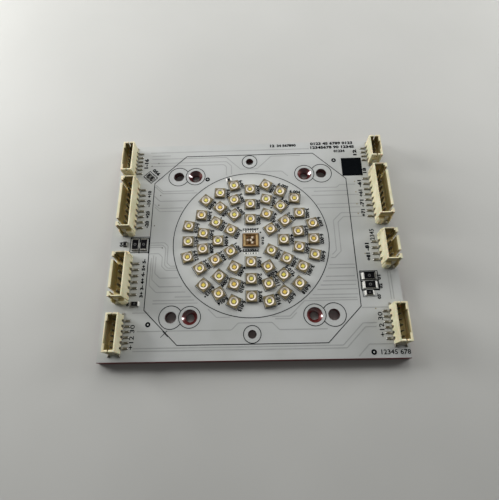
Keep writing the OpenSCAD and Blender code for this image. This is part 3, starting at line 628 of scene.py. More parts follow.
class Tree:
    """A Geometry Nodes tree with named inputs, built node by node"""

    def __init__(self, name, **inputs):
        self.group = bpy.data.node_groups.new(name, "GeometryNodeTree")
        interface = self.group.interface
        interface.new_socket("Geometry", in_out="INPUT", socket_type="NodeSocketGeometry")
        for label in inputs:
            interface.new_socket(label, in_out="INPUT", socket_type="NodeSocketFloat")
        interface.new_socket("Material", in_out="INPUT", socket_type="NodeSocketMaterial")
        interface.new_socket("Geometry", in_out="OUTPUT", socket_type="NodeSocketGeometry")
        self.values = inputs
        self.inputs = self.group.nodes.new("NodeGroupInput").outputs

    def node(self, kind, settings=None, **sockets):
        """A node with its settings and sockets, each given a value or another node's output"""
        made = self.group.nodes.new(kind)
        for key, value in (settings or {}).items():
            setattr(made, key, value)
        for key, value in sockets.items():
            label = key.replace("_", " ")
            target = made.inputs[int(key[1:])] if key[1:].isdigit() else made.inputs[label]
            fed(self.group.links, target, value)
        return made

    def math(self, operation, first, second=0.0):
        """The result of a Math node"""
        return self.node("ShaderNodeMath", {"operation": operation}, i0=first, i1=second).outputs[0]

    def finished(self, geometry):
        """Ends the tree in Realize Instances and Set Material"""
        real = self.node("GeometryNodeRealizeInstances", Geometry=geometry)
        painted = self.node("GeometryNodeSetMaterial", Geometry=real.outputs[0],
                            Material=self.inputs["Material"])
        end = self.group.nodes.new("NodeGroupOutput")
        self.group.links.new(painted.outputs[0], end.inputs["Geometry"])
        return self

    def grown(self, name, base, material, **changes):
        """The plain mesh object that the tree grows on a base mesh"""
        carrier = new_object(name + "_base", base)
        modifier = carrier.modifiers.new("grow", "NODES")
        modifier.node_group = self.group
        values = {**self.values, **changes, "Material": material}
        for item in self.group.interface.items_tree:
            if item.in_out == "INPUT" and item.name in values:
                modifier[item.identifier] = values[item.name]
        mesh = evaluated_mesh(carrier)
        mesh.name = name
        return new_object(name, mesh)


# Top width of a flat strip as a share of its foot
STRIP_TOP = 0.8


def strip_section(tree):
    """Section of a flat strip with sloped sides, from the tree's width and thickness"""
    strip = tree.node("GeometryNodeCurvePrimitiveQuadrilateral", {"mode": "TRAPEZOID"},
                      Bottom_Width=tree.inputs["Width"], Offset=0.0, Height=tree.inputs["Thickness"],
                      Top_Width=tree.math("MULTIPLY", tree.inputs["Width"], STRIP_TOP))
    return strip.outputs[0]


def bent_curve(tree, count):
    """The polylines of the base as curves, each bend rounded in COUNT steps"""
    curve = tree.node("GeometryNodeMeshToCurve", Mesh=tree.inputs["Geometry"])
    bent = tree.node("GeometryNodeFilletCurve", {"mode": "POLY"}, Curve=curve.outputs[0],
                     Radius=tree.inputs["Bend"], Limit_Radius=True, Count=count)
    return bent.outputs[0]


def placed_on_points(tree, geometry):
    """GEOMETRY on every point of the base, with the point's own size"""
    size = tree.node("GeometryNodeInputNamedAttribute", {"data_type": "FLOAT_VECTOR"}, Name="size")
    spread = tree.node("GeometryNodeInstanceOnPoints", Points=tree.inputs["Geometry"],
                       Instance=geometry, Scale=size.outputs["Attribute"])
    return spread.outputs[0]


def ribbon_tree():
    """Flat strips along polylines, with rounded bends and sloped sides"""
    tree = Tree("ribbon", Width=TRACE_W, Thickness=TRACE_T, Bend=TRACE_BEND)
    level = tree.node("GeometryNodeSetCurveNormal", {"mode": "Z_UP"}, Curve=bent_curve(tree, 3))
    swept = tree.node("GeometryNodeCurveToMesh", Curve=level.outputs[0],
                      Profile_Curve=strip_section(tree), Fill_Caps=True)
    flat = tree.node("GeometryNodeSetShadeSmooth", Geometry=swept.outputs[0], Shade_Smooth=False)
    return tree.finished(flat.outputs[0])


def ring_tree():
    """Thin flat rings on points"""
    tree = Tree("ring", Radius=1.7 * MM, Width=0.14 * MM, Thickness=0.03 * MM)
    circle = tree.node("GeometryNodeCurvePrimitiveCircle", Resolution=28, Radius=tree.inputs["Radius"])
    swept = tree.node("GeometryNodeCurveToMesh", Curve=circle.outputs[0],
                      Profile_Curve=strip_section(tree), Fill_Caps=False)
    return tree.finished(placed_on_points(tree, swept.outputs[0]))


def wire_tree():
    """Round wires along polylines, with rounded bends"""
    tree = Tree("wire", Radius=0.03 * MM, Bend=0.3 * MM)
    ring = tree.node("GeometryNodeCurvePrimitiveCircle", Resolution=6, Radius=tree.inputs["Radius"])
    swept = tree.node("GeometryNodeCurveToMesh", Curve=bent_curve(tree, 4),
                      Profile_Curve=ring.outputs[0], Fill_Caps=True)
    return tree.finished(swept.outputs[0])


def mound_tree():
    """Solder mounds on points: a pad-shaped heap, steep at its foot and round at its top"""
    tree = Tree("mound", Lip=0.06)
    block = tree.node("GeometryNodeMeshCube", i0=(2, 2, 1), Vertices_X=7, Vertices_Y=7)
    lifted = tree.node("GeometryNodeTransform", Geometry=block.outputs[0], Translation=(0, 0, 0.5))
    place = tree.node("GeometryNodeInputPosition")
    axes = tree.node("ShaderNodeSeparateXYZ", Vector=place.outputs[0])
    across = tree.math("POWER", tree.math("ABSOLUTE", axes.outputs["X"]), 3.0)
    lengthwise = tree.math("POWER", tree.math("ABSOLUTE", axes.outputs["Y"]), 3.0)
    fall = tree.math("MINIMUM", tree.math("ADD", across, lengthwise), 1.0)
    heap = tree.math("MULTIPLY", tree.math("SUBTRACT", 1.0, fall),
                     tree.math("SUBTRACT", 1.0, tree.inputs["Lip"]))
    height = tree.math("MULTIPLY", axes.outputs["Z"], tree.math("ADD", heap, tree.inputs["Lip"]))
    heaped = tree.node("ShaderNodeCombineXYZ", X=axes.outputs["X"], Y=axes.outputs["Y"], Z=height)
    shaped = tree.node("GeometryNodeSetPosition", Geometry=lifted.outputs[0],
                       Position=heaped.outputs[0])
    smooth = tree.node("GeometryNodeSetShadeSmooth", Geometry=shaped.outputs[0])
    return tree.finished(placed_on_points(tree, smooth.outputs[0]))


def pot_tree(foot_r, mouth_r, depth):
    """Resin pots on points: a cone frustum with a slightly dished top"""
    tree = Tree("resin_pot", Foot=foot_r, Mouth=mouth_r, Depth=depth, Dish=0.07 * MM)
    cone = tree.node("GeometryNodeMeshCone", Vertices=24, Fill_Segments=3,
                     Radius_Top=tree.inputs["Mouth"], Radius_Bottom=tree.inputs["Foot"],
                     Depth=tree.inputs["Depth"])
    place = tree.node("GeometryNodeInputPosition")
    axes = tree.node("ShaderNodeSeparateXYZ", Vector=place.outputs[0])
    level = tree.node("ShaderNodeCombineXYZ", X=axes.outputs["X"], Y=axes.outputs["Y"])
    reach = tree.node("ShaderNodeVectorMath", {"operation": "LENGTH"}, i0=level.outputs[0])
    share = tree.math("DIVIDE", reach.outputs["Value"], tree.inputs["Mouth"])
    dish = tree.math("MULTIPLY", tree.math("SUBTRACT", 1.0, tree.math("MULTIPLY", share, share)),
                     tree.math("MULTIPLY", tree.inputs["Dish"], -1.0))
    top = tree.math("GREATER_THAN", axes.outputs["Z"], tree.math("MULTIPLY", tree.inputs["Depth"], 0.9))
    sunk = tree.node("ShaderNodeCombineXYZ", Z=dish)
    shaped = tree.node("GeometryNodeSetPosition", Geometry=cone.outputs["Mesh"], Selection=top,
                       Offset=sunk.outputs[0])
    return tree.finished(placed_on_points(tree, shaped.outputs[0]))


RIBBON = ribbon_tree()
WIRE = wire_tree()
MOUND = mound_tree()


# Rounded housings

# Widths of the rounded edges
ROUNDING = 0.08 * MM
LED_ROUNDING = 0.06 * MM
# Shortest edges that are rounded: the arcs round an LED's cup stay sharp
SOCKET_EDGE = 0.32 * MM
LED_EDGE = 0.6 * MM
# Faces that meet at less than the first angle are one, and an edge past the second is rounded
FLAT_ANGLE = math.radians(1)
SHARP_ANGLE = math.radians(40)


def add_rounded_copy(name, width, shortest):
    """Copy of a node with its outer edges rounded as a mould leaves them, in place of the node"""
    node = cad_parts[name]
    mesh = bmesh.new()
    mesh.from_mesh(node.data)
    bmesh.ops.remove_doubles(mesh, verts=mesh.verts, dist=SAME_PLACE)
    bmesh.ops.dissolve_limit(mesh, angle_limit=FLAT_ANGLE, verts=mesh.verts, edges=mesh.edges)
    outer = [edge for edge in mesh.edges if edge.is_manifold and edge.is_convex
             and edge.calc_face_angle() > SHARP_ANGLE and edge.calc_length() > shortest]
    bmesh.ops.bevel(mesh, geom=outer, offset=width, segments=2, profile=0.5, affect="EDGES",
                    clamp_overlap=True)
    data = mesh_of(name + "_rounded", mesh, node.data.materials[0])
    slot_name = "socket_plastic" if name.endswith("_housing") else "led_housing"
    settled(new_object(name + "_rounded", data), slot_name, name)


def add_rounded_housings():
    """Moulded housings of the sockets and LEDs with rounded edges"""
    for name in list(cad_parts):
        if name.endswith("_housing"):
            add_rounded_copy(name, ROUNDING, SOCKET_EDGE)
        elif name.startswith("led_housings_"):
            add_rounded_copy(name, LED_ROUNDING, LED_EDGE)


# Clear parts and wires of the LEDs and the emitter

# Between the resin and the cup that it fills
RESIN_GAP = 0.02 * MM


def add_resin_pots():
    """Clear resin that fills every LED's cup, a hair clear of its lining"""
    cup = islands("led_reflectors_row_1")[0]
    low, high = corners(cup)
    middle = (low + high) / 2
    reach = [(p.xy - middle.xy).length for p in cup]
    level = [p.z for p in cup]
    foot = min(r for r, z in zip(reach, level) if z < low.z + RESIN_GAP)
    mouth = min(r for r, z in zip(reach, level) if z > high.z - RESIN_GAP)
    depth = high.z - low.z
    places = [Vector((centre.x, centre.y, low.z + RESIN_GAP)) for _, _, centre, _ in LEDS]
    base = points_mesh("pots", places)
    tree = pot_tree(foot - RESIN_GAP, mouth - RESIN_GAP, depth - 2 * RESIN_GAP)
    settled(tree.grown("led_resin_pots", base, FINISHES["resin"]), "resin", "led_resin")


# Film and pane inside the emitter: gap round both, their heights, and width of their cut corners
WINDOW_GAP = 0.02 * MM
FILM_FOOT = 0.002 * MM
FILM_T = 0.03 * MM
FILM_CORNER = 0.2 * MM
PANE_DROP = 0.12 * MM
PANE_CORNER = 0.35 * MM


def add_emitter_window():
    """Dark film between the emitter's bars and the clear brown pane over its chips"""
    rim_low, rim_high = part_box("emitter_rim")
    bar_low, bar_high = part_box("emitter_bars")
    half = min(p.x for bar in islands("emitter_bars") for p in bar if p.x > 0) - WINDOW_GAP
    low = (-half, bar_low.y + WINDOW_GAP)
    high = (half, bar_high.y - WINDOW_GAP)
    add_slab("emitter_film", (*low, rim_low.z + FILM_FOOT), (*high, rim_low.z + FILM_T),
             FILM_CORNER, film_finish(), "resin")
    add_slab("emitter_pane", (*low, bar_high.z + PANE_DROP), (*high, rim_high.z - PANE_DROP),
             PANE_CORNER, pane_finish(), "resin")


# Bond wires: radius, rise of the arch, way in on the bar, way out from the chip's middle to the
# side and along it, and how far the ends sink in
WIRE_R = 0.03 * MM
WIRE_RISE = 0.22 * MM
BAR_IN = 0.28 * MM
CHIP_OFF = 0.2 * MM
WIRE_OFF = 0.18 * MM
WIRE_SINK = 0.01 * MM


def add_bond_wires():
    """Gold wires from the emitter's bars to its chips"""
    bar_low, bar_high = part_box("emitter_bars")
    paths = []
    for points in islands("emitter_chips"):
        low, high = corners(points)
        middle = (low + high) / 2
        side = 1 if middle.x > 0.1 * MM else -1
        bar_x = (bar_high.x if side > 0 else bar_low.x) - side * BAR_IN
        for offset in (-WIRE_OFF, WIRE_OFF):
            y = middle.y + offset
            start = (bar_x, y, bar_high.z - WIRE_SINK)
            end = (middle.x + side * CHIP_OFF, y, high.z - WIRE_SINK)
            peak = max(start[2], end[2]) + WIRE_RISE
            paths.append([start, (bar_x * 0.8 + end[0] * 0.2, y, peak),
                          (bar_x * 0.3 + end[0] * 0.7, y, peak), end])
    base = lines_mesh("wires", paths)
    settled(WIRE.grown("emitter_bond_wires", base, FINISHES["gold"], Radius=WIRE_R), "gold")


# Solder

# Solder stands out round the metal by about the first, and covers this share of a leg
SOLDER_MARGIN = 0.2 * MM
LEG_SHARE = 0.55
# Painted highlight heap on a wide socket's tab: in from the leg side and from the tip, and its half sizes
WIDE_DOT_IN = 4.45 * MM
WIDE_DOT_BACK = 0.5 * MM
WIDE_DOT = (0.5 * MM, 0.5 * MM, 1.0 * MM)
# Dark heaps on a fork's prongs: in from the tip, then half length and height
PRONG_BACK = 0.4 * MM
PRONG_HEAP = (0.5 * MM, 0.5 * MM)
# Heights of the dark heap on a leg and the painted highlight heap at its tip
LEG_HEAP_T = 0.28 * MM
TIP_HEAP_T = 0.34 * MM


def socket_side(name):
    """Middle of a socket, the way to its leg side as 1 or -1, and that side's X on its housing"""
    low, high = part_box(name + "_housing")
    middle = (low + high) / 2
    inward = 1 if middle.x < 0 else -1
    return middle, inward, high.x if inward > 0 else low.x


def leg_heaps(points, side, pad_z):
    """Solder on a leg's foot, as place and half sizes: dark along it, and a painted highlight heap at its
    tip
    """
    _, inward, leg_side = side
    low, high = corners(points)
    y = (low.y + high.y) / 2
    tip = high.x if inward > 0 else low.x
    length = abs(tip - leg_side) * LEG_SHARE
    half_y = (high.y - low.y) / 2 + SOLDER_MARGIN * 0.8
    along_leg = (tip - inward * (length / 2 - SOLDER_MARGIN / 2), y, pad_z)
    dark = [(along_leg, (length / 2, half_y, LEG_HEAP_T))]
    return dark, [((tip, y, pad_z), (SOLDER_MARGIN * 0.85, half_y * 0.6, TIP_HEAP_T))]


def tab_heaps(points, side, pad_z):
    """Solder on a tab's foot: a dark heap on each prong of a fork, or one painted highlight dot on a
    plain foot
    """
    middle, inward, leg_side = side
    low, high = corners(points)
    outward = 1 if (low.y + high.y) / 2 > middle.y else -1
    tip = high.y if outward > 0 else low.y
    prongs = prong_sides(points, tip)
    if len(prongs) == 1:
        spot = (leg_side - inward * WIDE_DOT_IN, tip - outward * WIDE_DOT_BACK, pad_z)
        return [], [(spot, WIDE_DOT)]
    dark = []
    for prong_low, prong_high in prongs:
        centre = ((prong_low + prong_high) / 2, tip - outward * PRONG_BACK, pad_z)
        dark.append((centre, ((prong_high - prong_low) / 2 + SOLDER_MARGIN * 0.4, *PRONG_HEAP)))
    return dark, []


def prong_sides(points, tip):
    """X spans of a tab's foot at its tip: one, or two when the foot is a fork"""
    across = sorted({round(p.x / MM, 2) for p in points if abs(p.y - tip) < 0.01 * MM})
    spans = [across[0], across[-1]] if len(across) < 4 else across
    return [(spans[i] * MM, spans[i + 1] * MM) for i in range(0, len(spans), 2)]


def add_solder():
    """Dark solder over the feet of the legs and tabs, and heaps with a painted highlight where it catches
    the light
    """
    dark, bright = [], []
    pad_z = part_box("tin_pads")[1].z
    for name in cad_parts:
        socket, _, kind = name.rpartition("_")
        if kind not in ("pins", "tabs"):
            continue
        side = socket_side(socket)
        heaps_of = leg_heaps if kind == "pins" else tab_heaps
        for points in islands(name):
            more_dark, more_bright = heaps_of(points, side, pad_z)
            dark += more_dark
            bright += more_bright
    # The second set of heaps is a painted highlight
    for name, heaps, look in (("dark_solder", dark, dark_solder_finish()),
                              ("bright_solder", bright, glint_solder_finish())):
        base = points_mesh(name, [Vector(place) for place, _ in heaps], [size for _, size in heaps])
        settled(MOUND.grown(name, base, look), "tin")


# Print and covered traces

# Digit's height as a share of the font's size, and its thickening as a share of its height
DIGIT_SHARE = 0.72
TEXT_WEIGHT = 0.07
# Letters higher than this are drawn with a thinner line
TALL = 1.6 * MM
TALL_WEIGHT = 0.015


def text_mesh(words, height, length=None, weight=TEXT_WEIGHT):
    """Digits as a thin closed mesh, centred and lying flat, drawn out to LENGTH"""
    curve = bpy.data.curves.new("digits", "FONT")
    curve.body = words
    curve.size = height / DIGIT_SHARE
    curve.align_x = "CENTER"
    curve.align_y = "CENTER"
    curve.offset = height * weight
    curve.extrude = INK_T / 2
    curve.resolution_u = 2
    mesh = evaluated_mesh(new_object("digits", curve))
    if length:
        low, high = corners([vertex.co for vertex in mesh.vertices])
        mesh.transform(Matrix.Diagonal((length / (high.x - low.x), 1, 1, 1)))
    return mesh


def joined(name, parts, material):
    """One mesh object of several meshes, each carried to its place"""
    whole = bmesh.new()
    for mesh, matrix in parts:
        first = len(whole.verts)
        whole.from_mesh(mesh)
        whole.verts.ensure_lookup_table()
        bmesh.ops.transform(whole, matrix=matrix, verts=whole.verts[first:])
    return new_object(name, mesh_of(name, whole, material))


def placing(x, y, turn, z=INK_Z):
    """Turn about the upright axis, then the way to a place"""
    return Matrix.Translation((x, y, z)) @ Matrix.Rotation(turn, 4, "Z")


def on_board(paths, z=INK_Z):
    """Polylines given in millimetres, in metres and at a level"""
    return [[(x * MM, y * MM, z) for x, y in path] for path in paths]


def add_ink_lines(name, paths, width):
    """Black printed lines with sharp bends"""
    base = lines_mesh(name + "_paths", paths)
    settled(RIBBON.grown(name, base, FINISHES["black"], Width=width, Bend=0.0, Thickness=INK_T), "black")


# Quarter turns of the LEDs whose number isn't on their right, by ring and number in the ring
NUMBER_QUARTERS = {("row_2", 2): 1, ("row_3", 3): 1, ("row_3", 4): 1, ("row_3", 13): -1,
                   ("row_1", 5): -1}
# Side and line of the LEDs' printed frames, then a number's way from the middle, height and length
LED_FRAME = 4.75 * MM
LED_FRAME_W = 0.22 * MM
NUMBER_AT = 3.25 * MM
NUMBER_H = 1.35 * MM
NUMBER_L = 4.5 * MM


def add_led_print():
    """A printed frame round every LED, and its number beside it"""
    numbers, frames = [], []
    half = LED_FRAME / 2
    square = [(half, half), (-half, half), (-half, -half), (half, -half), (half, half)]
    rings = SPOKE_RINGS + ROW_RINGS
    for ring, number, centre, turn in LEDS:
        facing = turn + NUMBER_QUARTERS.get((ring, number), 0) * math.pi / 2
        x = centre.x + NUMBER_AT * math.cos(facing)
        y = centre.y + NUMBER_AT * math.sin(facing)
        words = f"{rings.index(ring) + 1}-{number + 1:03d}"
        numbers.append((text_mesh(words, NUMBER_H, NUMBER_L), placing(x, y, facing - math.pi / 2)))
        spin = Matrix.Rotation(turn, 2)
        frames.append([(*(centre.xy + spin @ Vector(corner)), INK_Z) for corner in square])
    settled(joined("led_numbers", numbers, FINISHES["black"]), "black")
    add_ink_lines("led_frame_lines", frames, LED_FRAME_W)


# Plain numbers beside the sockets, chips and edges: words, X, Y, height, length and turn
BOARD_NUMBERS = [
    ("1-16", -44.8, 37.2, 1.5, 4.9, 90),
    ("+10", -42.3, 22.2, 1.4, 3.3, 90), ("-10", -42.3, 17.85, 1.4, 3.3, 90),
    ("+20", -42.3, 12.65, 1.4, 3.3, 90), ("-20", -42.3, 8.2, 1.4, 3.3, 90),
    ("3+ 3- 4+ 4- 5+ 5-", -42.0, -14.7, 1.2, 15.6, 90),
    ("+12 30", -44.1, -37.3, 1.7, 9.0, 90),
    ("-61", 46.0, 25.0, 1.4, 3.3, 90), ("+61", 46.0, 20.3, 1.4, 3.3, 90),
    ("-71", 46.0, 15.7, 1.4, 3.3, 90), ("+71", 46.0, 11.2, 1.4, 3.3, 90),
    ("18", 48.85, 30.8, 1.4, 2.6, 90), ("12345", 48.2, 0.8, 1.8, 5.6, 90),
    ("-81", 45.7, -3.6, 1.4, 3.3, 90), ("+81", 45.7, -7.8, 1.4, 3.3, 90),
    ("12", 45.7, 40.0, 1.4, 3.0, 90), ("+12 30", 47.1, -34.2, 1.7, 9.0, 90),
    ("0123 45 6789 0123", 36.0, 45.3, 1.3, 18.5, 0), ("12345678 90 12345", 36.0, 43.3, 1.3, 19.0, 0),
    ("01234", 39.0, 41.2, 1.2, 4.8, 0), ("12", 9.9, 44.8, 1.3, 2.0, 0),
    ("34 567890", 16.2, 44.8, 1.2, 8.4, 0), ("12345 678", 50.65, -44.1, 1.7, 10.4, 0),
    ("01", 48.6, -16.2, 1.2, 2.0, 90), ("02", 48.8, -19.8, 1.2, 2.0, 90),
    ("03", 47.7, -23.9, 1.1, 1.8, 90), ("04", -51.9, -0.4, 1.2, 2.0, 90),
    ("056", -40.3, 32.9, 1.4, 3.9, -45), ("06", -46.9, -24.9, 1.0, 1.6, 90),
    ("1234567", -0.1, 4.85, 0.85, 6.5, 0), ("1234567", -0.1, -4.1, 0.85, 6.5, 0),
    ("012", 4.8, -0.2, 0.9, 3.4, 90),
]
# Round printed dots beside packages that have a first corner: X and Y in millimetres
PRINTED_DOTS = [(-11.9, 10.3), (8.6, 14.4), (11.4, 3.9), (-17.6, -22.6), (16.1, -15.0), (3.9, 3.4)]
DOT_R = 0.36 * MM
# Thin strokes: the cross on the octagon's front left side, and corners round the smallest chips
MARK_STROKES = [
    [(-33.6, -37.6), (-31.2, -35.2)], [(-32.9, -35.4), (-30.9, -37.4)],
    [(41.7, -21.4), (41.8, -23.9), (43.2, -23.9)], [(45.4, -23.7), (47.1, -23.7), (47.1, -22.6)],
]
# Bold lines round the power resistors, by the emitter, and the ticks between its pads
BOLD_STROKES = [
    [(-48.4, 2.0), (-40.9, 1.95), (-40.7, -4.5)], [(-44.4, 1.9), (-44.4, 0.2)],
    [(-44.5, -2.2), (-44.5, -4.4)],
    [(47.4, -14.2), (41.5, -14.2), (41.6, -17.9), (43.2, -17.9)], [(46.1, -17.8), (48.0, -17.8)],
    [(41.6, -17.9), (41.5, -21.2), (43.1, -21.2)], [(45.8, -21.2), (48.0, -21.1), (48.0, -17.8)],
    [(-3.3, -4.6), (3.2, -4.6)],
]
BOLD_W = 0.42 * MM
PAD_TICKS = [[(x, y), (x, y + 0.6)] for x in (-1.9, -0.85, -0.1, 0.9, 2.0) for y in (3.65, -5.75)]
# Dark lines round the emitter: way out from its rim or in on it, then width and thickness
EMITTER_EDGE = 0.12 * MM
EMITTER_LINE = (0.2 * MM, 0.02 * MM)
# Middle heights of the line over the emitter's rim, and of the ring over an LED's cup
RIM_LINE_RISE = 0.01 * MM
SEAM_RISE = 0.015 * MM
# The ring's middle lies this far out from the lining's edge
SEAM_OUT = 0.07 * MM


def add_emitter_edges():
    """Dark lines on the board round the emitter and along the top of its rim"""
    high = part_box("emitter_rim")[1]
    width, thickness = EMITTER_LINE
    for name, grow, z, look, slot in (
            ("emitter_foot_line", EMITTER_EDGE, INK_Z, FINISHES["black"], "black"),
            ("emitter_rim_line", -EMITTER_EDGE, high.z + RIM_LINE_RISE, seam_finish(), "gold")):
        x, y = high.x + grow, high.y + grow
        ring = [(x, y, z), (-x, y, z), (-x, -y, z), (x, -y, z), (x, y, z)]
        settled(RIBBON.grown(name, lines_mesh(name + "_path", [ring]), look, Width=width, Bend=0.0,
                             Thickness=thickness), slot)


def add_cup_rings():
    """The dark seam between every LED's lining and its housing"""
    low, high = corners(islands("led_reflectors_row_1")[0])
    places = [Vector((centre.x, centre.y, high.z + SEAM_RISE)) for _, _, centre, _ in LEDS]
    radius = (high.x - low.x) / 2 + SEAM_OUT
    rings = ring_tree().grown("led_cup_rings", points_mesh("rings", places), seam_finish(), Radius=radius)
    settled(rings, "led_housing")


def add_board_print():
    """Plain numbers, dots and strokes printed on the board"""
    parts = []
    for words, x, y, height, length, turn in BOARD_NUMBERS:
        weight = TALL_WEIGHT if height * MM > TALL else TEXT_WEIGHT
        mesh = text_mesh(words, height * MM, length * MM, weight)
        parts.append((mesh, placing(x * MM, y * MM, math.radians(turn))))
    dot = disc(DOT_R, INK_T)
    parts += [(dot, placing(x * MM, y * MM, 0)) for x, y in PRINTED_DOTS]
    settled(joined("board_numbers", parts, FINISHES["black"]), "black")
    add_ink_lines("board_strokes", on_board(MARK_STROKES), INK_W)
    add_ink_lines("board_bold_strokes", on_board(BOLD_STROKES + PAD_TICKS), BOLD_W)


# Printed square: lowest and highest X and Y in millimetres, a little past the node's own
SQUARE_FROM = (39.32, 28.7)
SQUARE_TO = (47.85, 37.53)
SQUARE_T = 0.06 * MM
SQUARE_CORNER = 0.12 * MM


def add_dark_square():
    """Thick solid print of the dark square"""
    low = Vector((SQUARE_FROM[0] * MM, SQUARE_FROM[1] * MM, TOP_Z))
    high = Vector((SQUARE_TO[0] * MM, SQUARE_TO[1] * MM, TOP_Z + SQUARE_T))
    add_slab("dark_square", low, high, SQUARE_CORNER, FINISHES["black"], "black")


# Gaps between the covered tracks, as X and Y in millimetres
TRACE_GAPS = [
    [(-43.4, 42.9), (26, 42.9)], [(-42.6, 41.2), (-34.5, 41.2)],
    [(-42.6, 39.6), (-10.1, 39.6), (-3.9, 33.4), (3.2, 33.4), (9.4, 39.6), (22, 39.6)],
    [(-43, 37.4), (-10, 37.4), (-7.8, 35.2), (-7.8, 31.0)],
    [(-43, 35.9), (-11.1, 35.9), (-10, 34.8), (-10, 30.5)],
    [(2.4, 31.9), (13.7, 31.9), (16.2, 29.4)], [(26.6, 21.6), (40.9, 21.6)],
    [(28.4, -15.6), (39.6, -15.6)], [(26.2, -19.0), (39.6, -19.0)],
    [(-40.2, 25.8), (-36.7, 22.3), (-22.3, 22.3)], [(-40.2, 21.2), (-37.7, 18.7), (-25.6, 18.7)],
    [(-39.7, 16.1), (-37.5, 13.9), (-28.4, 13.9)], [(-40.2, -2.0), (-35.3, -2.0)],
    [(-40.2, -0.1), (-34.5, -0.1), (-33.0, -1.6), (-33.0, -8.7), (-31.6, -10.1), (-29.0, -10.1)],
    [(-40.2, -1.1), (-35.2, -1.1), (-33.9, -2.4), (-33.9, -9.6), (-32.6, -10.9), (-28.7, -10.9)],
    [(-40.0, -4.7), (-36.5, -4.7), (-35.0, -6.2), (-35.0, -10.1), (-33.3, -11.8), (-28.6, -11.8)],
    [(-37.5, -6.0), (-37.5, -12.9), (-35.5, -14.9), (-28.2, -14.9)],
    [(-38.5, -5.4), (-38.5, -15.4), (-35.5, -18.4), (-26.7, -18.4)],
    [(-39.3, -6.5), (-39.3, -17.8), (-36.5, -20.6), (-25.2, -20.6)],
    [(-40.0, 26.6), (-36.8, 23.4), (-23.6, 23.4)], [(-39.9, 17.4), (-37.9, 15.4), (-27.9, 15.4)],
    [(-29.2, -22.5), (-23.0, -22.5)], [(-37.5, -23.8), (-21.8, -23.8)], [(-37.5, -25), (-20.4, -25)],
    [(-44.8, -28.4), (-38.5, -28.4)],
    [(22.3, 23.3), (36.3, 23.3), (37.5, 24.5), (44.1, 24.5)], [(25.5, 19.6), (45, 19.6)],
    [(27.4, 15.5), (45, 15.5)], [(28.4, 13.8), (45, 13.8)],
    [(46.6, 9.5), (37.6, 9.5), (35.3, 7.2), (35.3, -5.4), (32.7, -8.0), (31.2, -8.0)],
    [(46.6, 11.3), (36.8, 11.3), (33.5, 8.0), (33.5, -5.0), (31.9, -6.6), (31.6, -6.6)],
    [(30.2, -10.9), (40, -10.9)], [(29.6, -12.3), (40, -12.3)], [(27.2, -17.4), (40, -17.4)],
    [(24.8, -20.7), (40, -20.7)], [(22.9, -22.7), (40, -22.7)], [(21.5, -24), (39.5, -24)],
    [(7.4, -30.6), (14.0, -30.6), (19.7, -24.9), (39.5, -24.9)],
    [(8.5, -31.5), (14.4, -31.5), (16.6, -29.3)], [(-16.4, -27.4), (-13.2, -30.6), (-8, -30.6)],
    [(-42.4, -35.3), (-7.6, -35.3), (-5.1, -32.8), (7.4, -32.8), (10, -35.5), (27.5, -35.5)],
    [(-43.4, -41.4), (32.6, -41.4), (40.4, -33.6), (45.4, -33.6)],
    [(-43.4, -42.4), (33.8, -42.4), (41.2, -35), (45.1, -35)],
    [(37.7, -45.3), (41.8, -41.2), (50.5, -41.2)], [(40.7, -27.9), (50.5, -27.9)],
    [(52, -14), (52, -25)], [(53, -14), (53, -25)],
]


def add_trace_gaps():
    """Faint lines where the mask dips between the copper tracks under it"""
    base = lines_mesh("gaps", on_board(TRACE_GAPS, TOP_Z + TRACE_T / 2))
    settled(RIBBON.grown("trace_gaps", base, covered_gap_finish()), "board_face")


# Bare test points, as X and Y in millimetres
TEST_POINTS = [(-37.6, 21.5), (-38.1, 16.9), (-39.2, 7.5), (44, 25.8), (44, 20.8), (43.8, 15.2),
               (43.8, 10.8), (44.5, -6.6), (45.7, -28.4), (-35.3, -2.3), (-39.5, 37.4), (-42.4, 36.1)]
TEST_POINT_R = 0.28 * MM
TEST_POINT_T = 0.03 * MM
TEST_POINT_Z = TOP_Z + 0.02 * MM


def add_test_points():
    """Small bare points on the covered tracks"""
    point = disc(TEST_POINT_R, TEST_POINT_T, sides=12)
    parts = [(point, placing(x * MM, y * MM, 0, TEST_POINT_Z)) for x, y in TEST_POINTS]
    settled(joined("test_points", parts, test_point_finish()), "gold")


# Noughts: height on the power resistors and on the medium chips, and width as a share of it
POWER_DIGIT_H = 1.2 * MM
CHIP_DIGIT_H = 0.72 * MM
DIGIT_WIDTH = 0.9
# Chips shorter than this bear none
LEAST_CHIP = 2.0 * MM


def add_resistor_digits():
    """A nought on each power resistor and on the two medium chips"""
    parts = []
    for node, least, height in (("power_resistor_coats", 0.0, POWER_DIGIT_H),
                                ("chip_coats", LEAST_CHIP, CHIP_DIGIT_H)):
        for points in islands(node):
            low, high = corners(points)
            if max(high.x - low.x, high.y - low.y) < least:
                continue
            middle = (low + high) / 2
            turn = math.pi / 2 if high.y - low.y > high.x - low.x else 0.0
            parts.append((text_mesh("0", height, height * DIGIT_WIDTH, 0.0),
                          placing(middle.x, middle.y, turn, high.z + INK_T / 4)))
    settled(joined("resistor_digits", parts, white_ink_finish()), "board_face")


# Camera, light and floor

def add_camera():
    """The photograph's own view"""
    data = bpy.data.cameras.new("photo_camera")
    data.sensor_width = SENSOR_WIDTH
    data.lens = FOCAL_PIXELS / max(PHOTO_SIZE) * SENSOR_WIDTH
    data.clip_start = 5 * MM
    data.clip_end = 10.0
    camera = bpy.data.objects.new("photo_camera", data)
    camera.location = CAMERA_AT
    camera.rotation_euler = Euler([math.radians(angle) for angle in CAMERA_TURN])
    bpy.context.scene.collection.objects.link(camera)
    bpy.context.scene.camera = camera


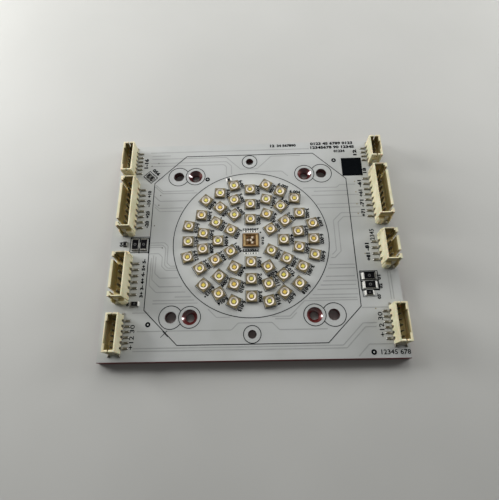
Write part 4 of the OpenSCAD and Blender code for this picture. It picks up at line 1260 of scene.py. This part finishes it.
# Soft boxes that face the board: place, width, height and power
SOFT_BOXES = {
    "rear_soft_box": ((-0.04, 0.36, 0.24), 0.7, 0.3, 2.1),
    "left_soft_box": ((-0.34, 0.12, 0.12), 0.14, 0.14, 1.25),
    "right_soft_box": ((0.34, 0.12, 0.12), 0.14, 0.14, 0.7),
}
ROOM_COLOUR = (1.0, 1.0, 0.99, 1.0)
ROOM_LIGHT = 0.13


def add_soft_box(name, place, width, height, power):
    """A lamp of WIDTH by HEIGHT that faces the board"""
    data = bpy.data.lights.new(name, "AREA")
    data.shape = "RECTANGLE"
    data.size = width
    data.size_y = height
    data.energy = power
    lamp = bpy.data.objects.new(name, data)
    lamp.location = place
    lamp.rotation_euler = (-Vector(place)).to_track_quat("-Z", "Y").to_euler()
    bpy.context.scene.collection.objects.link(lamp)


def light_scene():
    """A wide low soft box behind the board, a strong low one on its left, a weaker one on its right"""
    for name, settings in SOFT_BOXES.items():
        add_soft_box(name, *settings)
    world = bpy.data.worlds.new("pale_room")
    world.use_nodes = True
    background = world.node_tree.nodes["Background"]
    background.inputs["Color"].default_value = ROOM_COLOUR
    background.inputs["Strength"].default_value = ROOM_LIGHT
    bpy.context.scene.world = world


FLOOR_HALF = 3.0


def add_floor():
    """Plain pale floor"""
    square = [(x * FLOOR_HALF, y * FLOOR_HALF, 0) for x, y in ((-1, -1), (1, -1), (1, 1), (-1, 1))]
    mesh = bpy.data.meshes.new("floor")
    mesh.from_pydata(square, [], [(0, 1, 2, 3)])
    mesh.materials.append(finish("pale_floor", srgb(180, 180, 176), srgb(174, 174, 170), 90 * MM,
                                 (0.7, 0.8), 2 * MM, 0.02 * MM))
    new_object("floor", mesh)


add_camera()
light_scene()
add_floor()
dress_nodes()
add_rounded_housings()
add_resin_pots()
add_emitter_window()
add_bond_wires()
add_cup_rings()
add_emitter_edges()
add_solder()
add_trace_gaps()
add_led_print()
add_board_print()
add_dark_square()
add_test_points()
add_resistor_digits()
bpy.context.scene.view_settings.view_transform = "Standard"
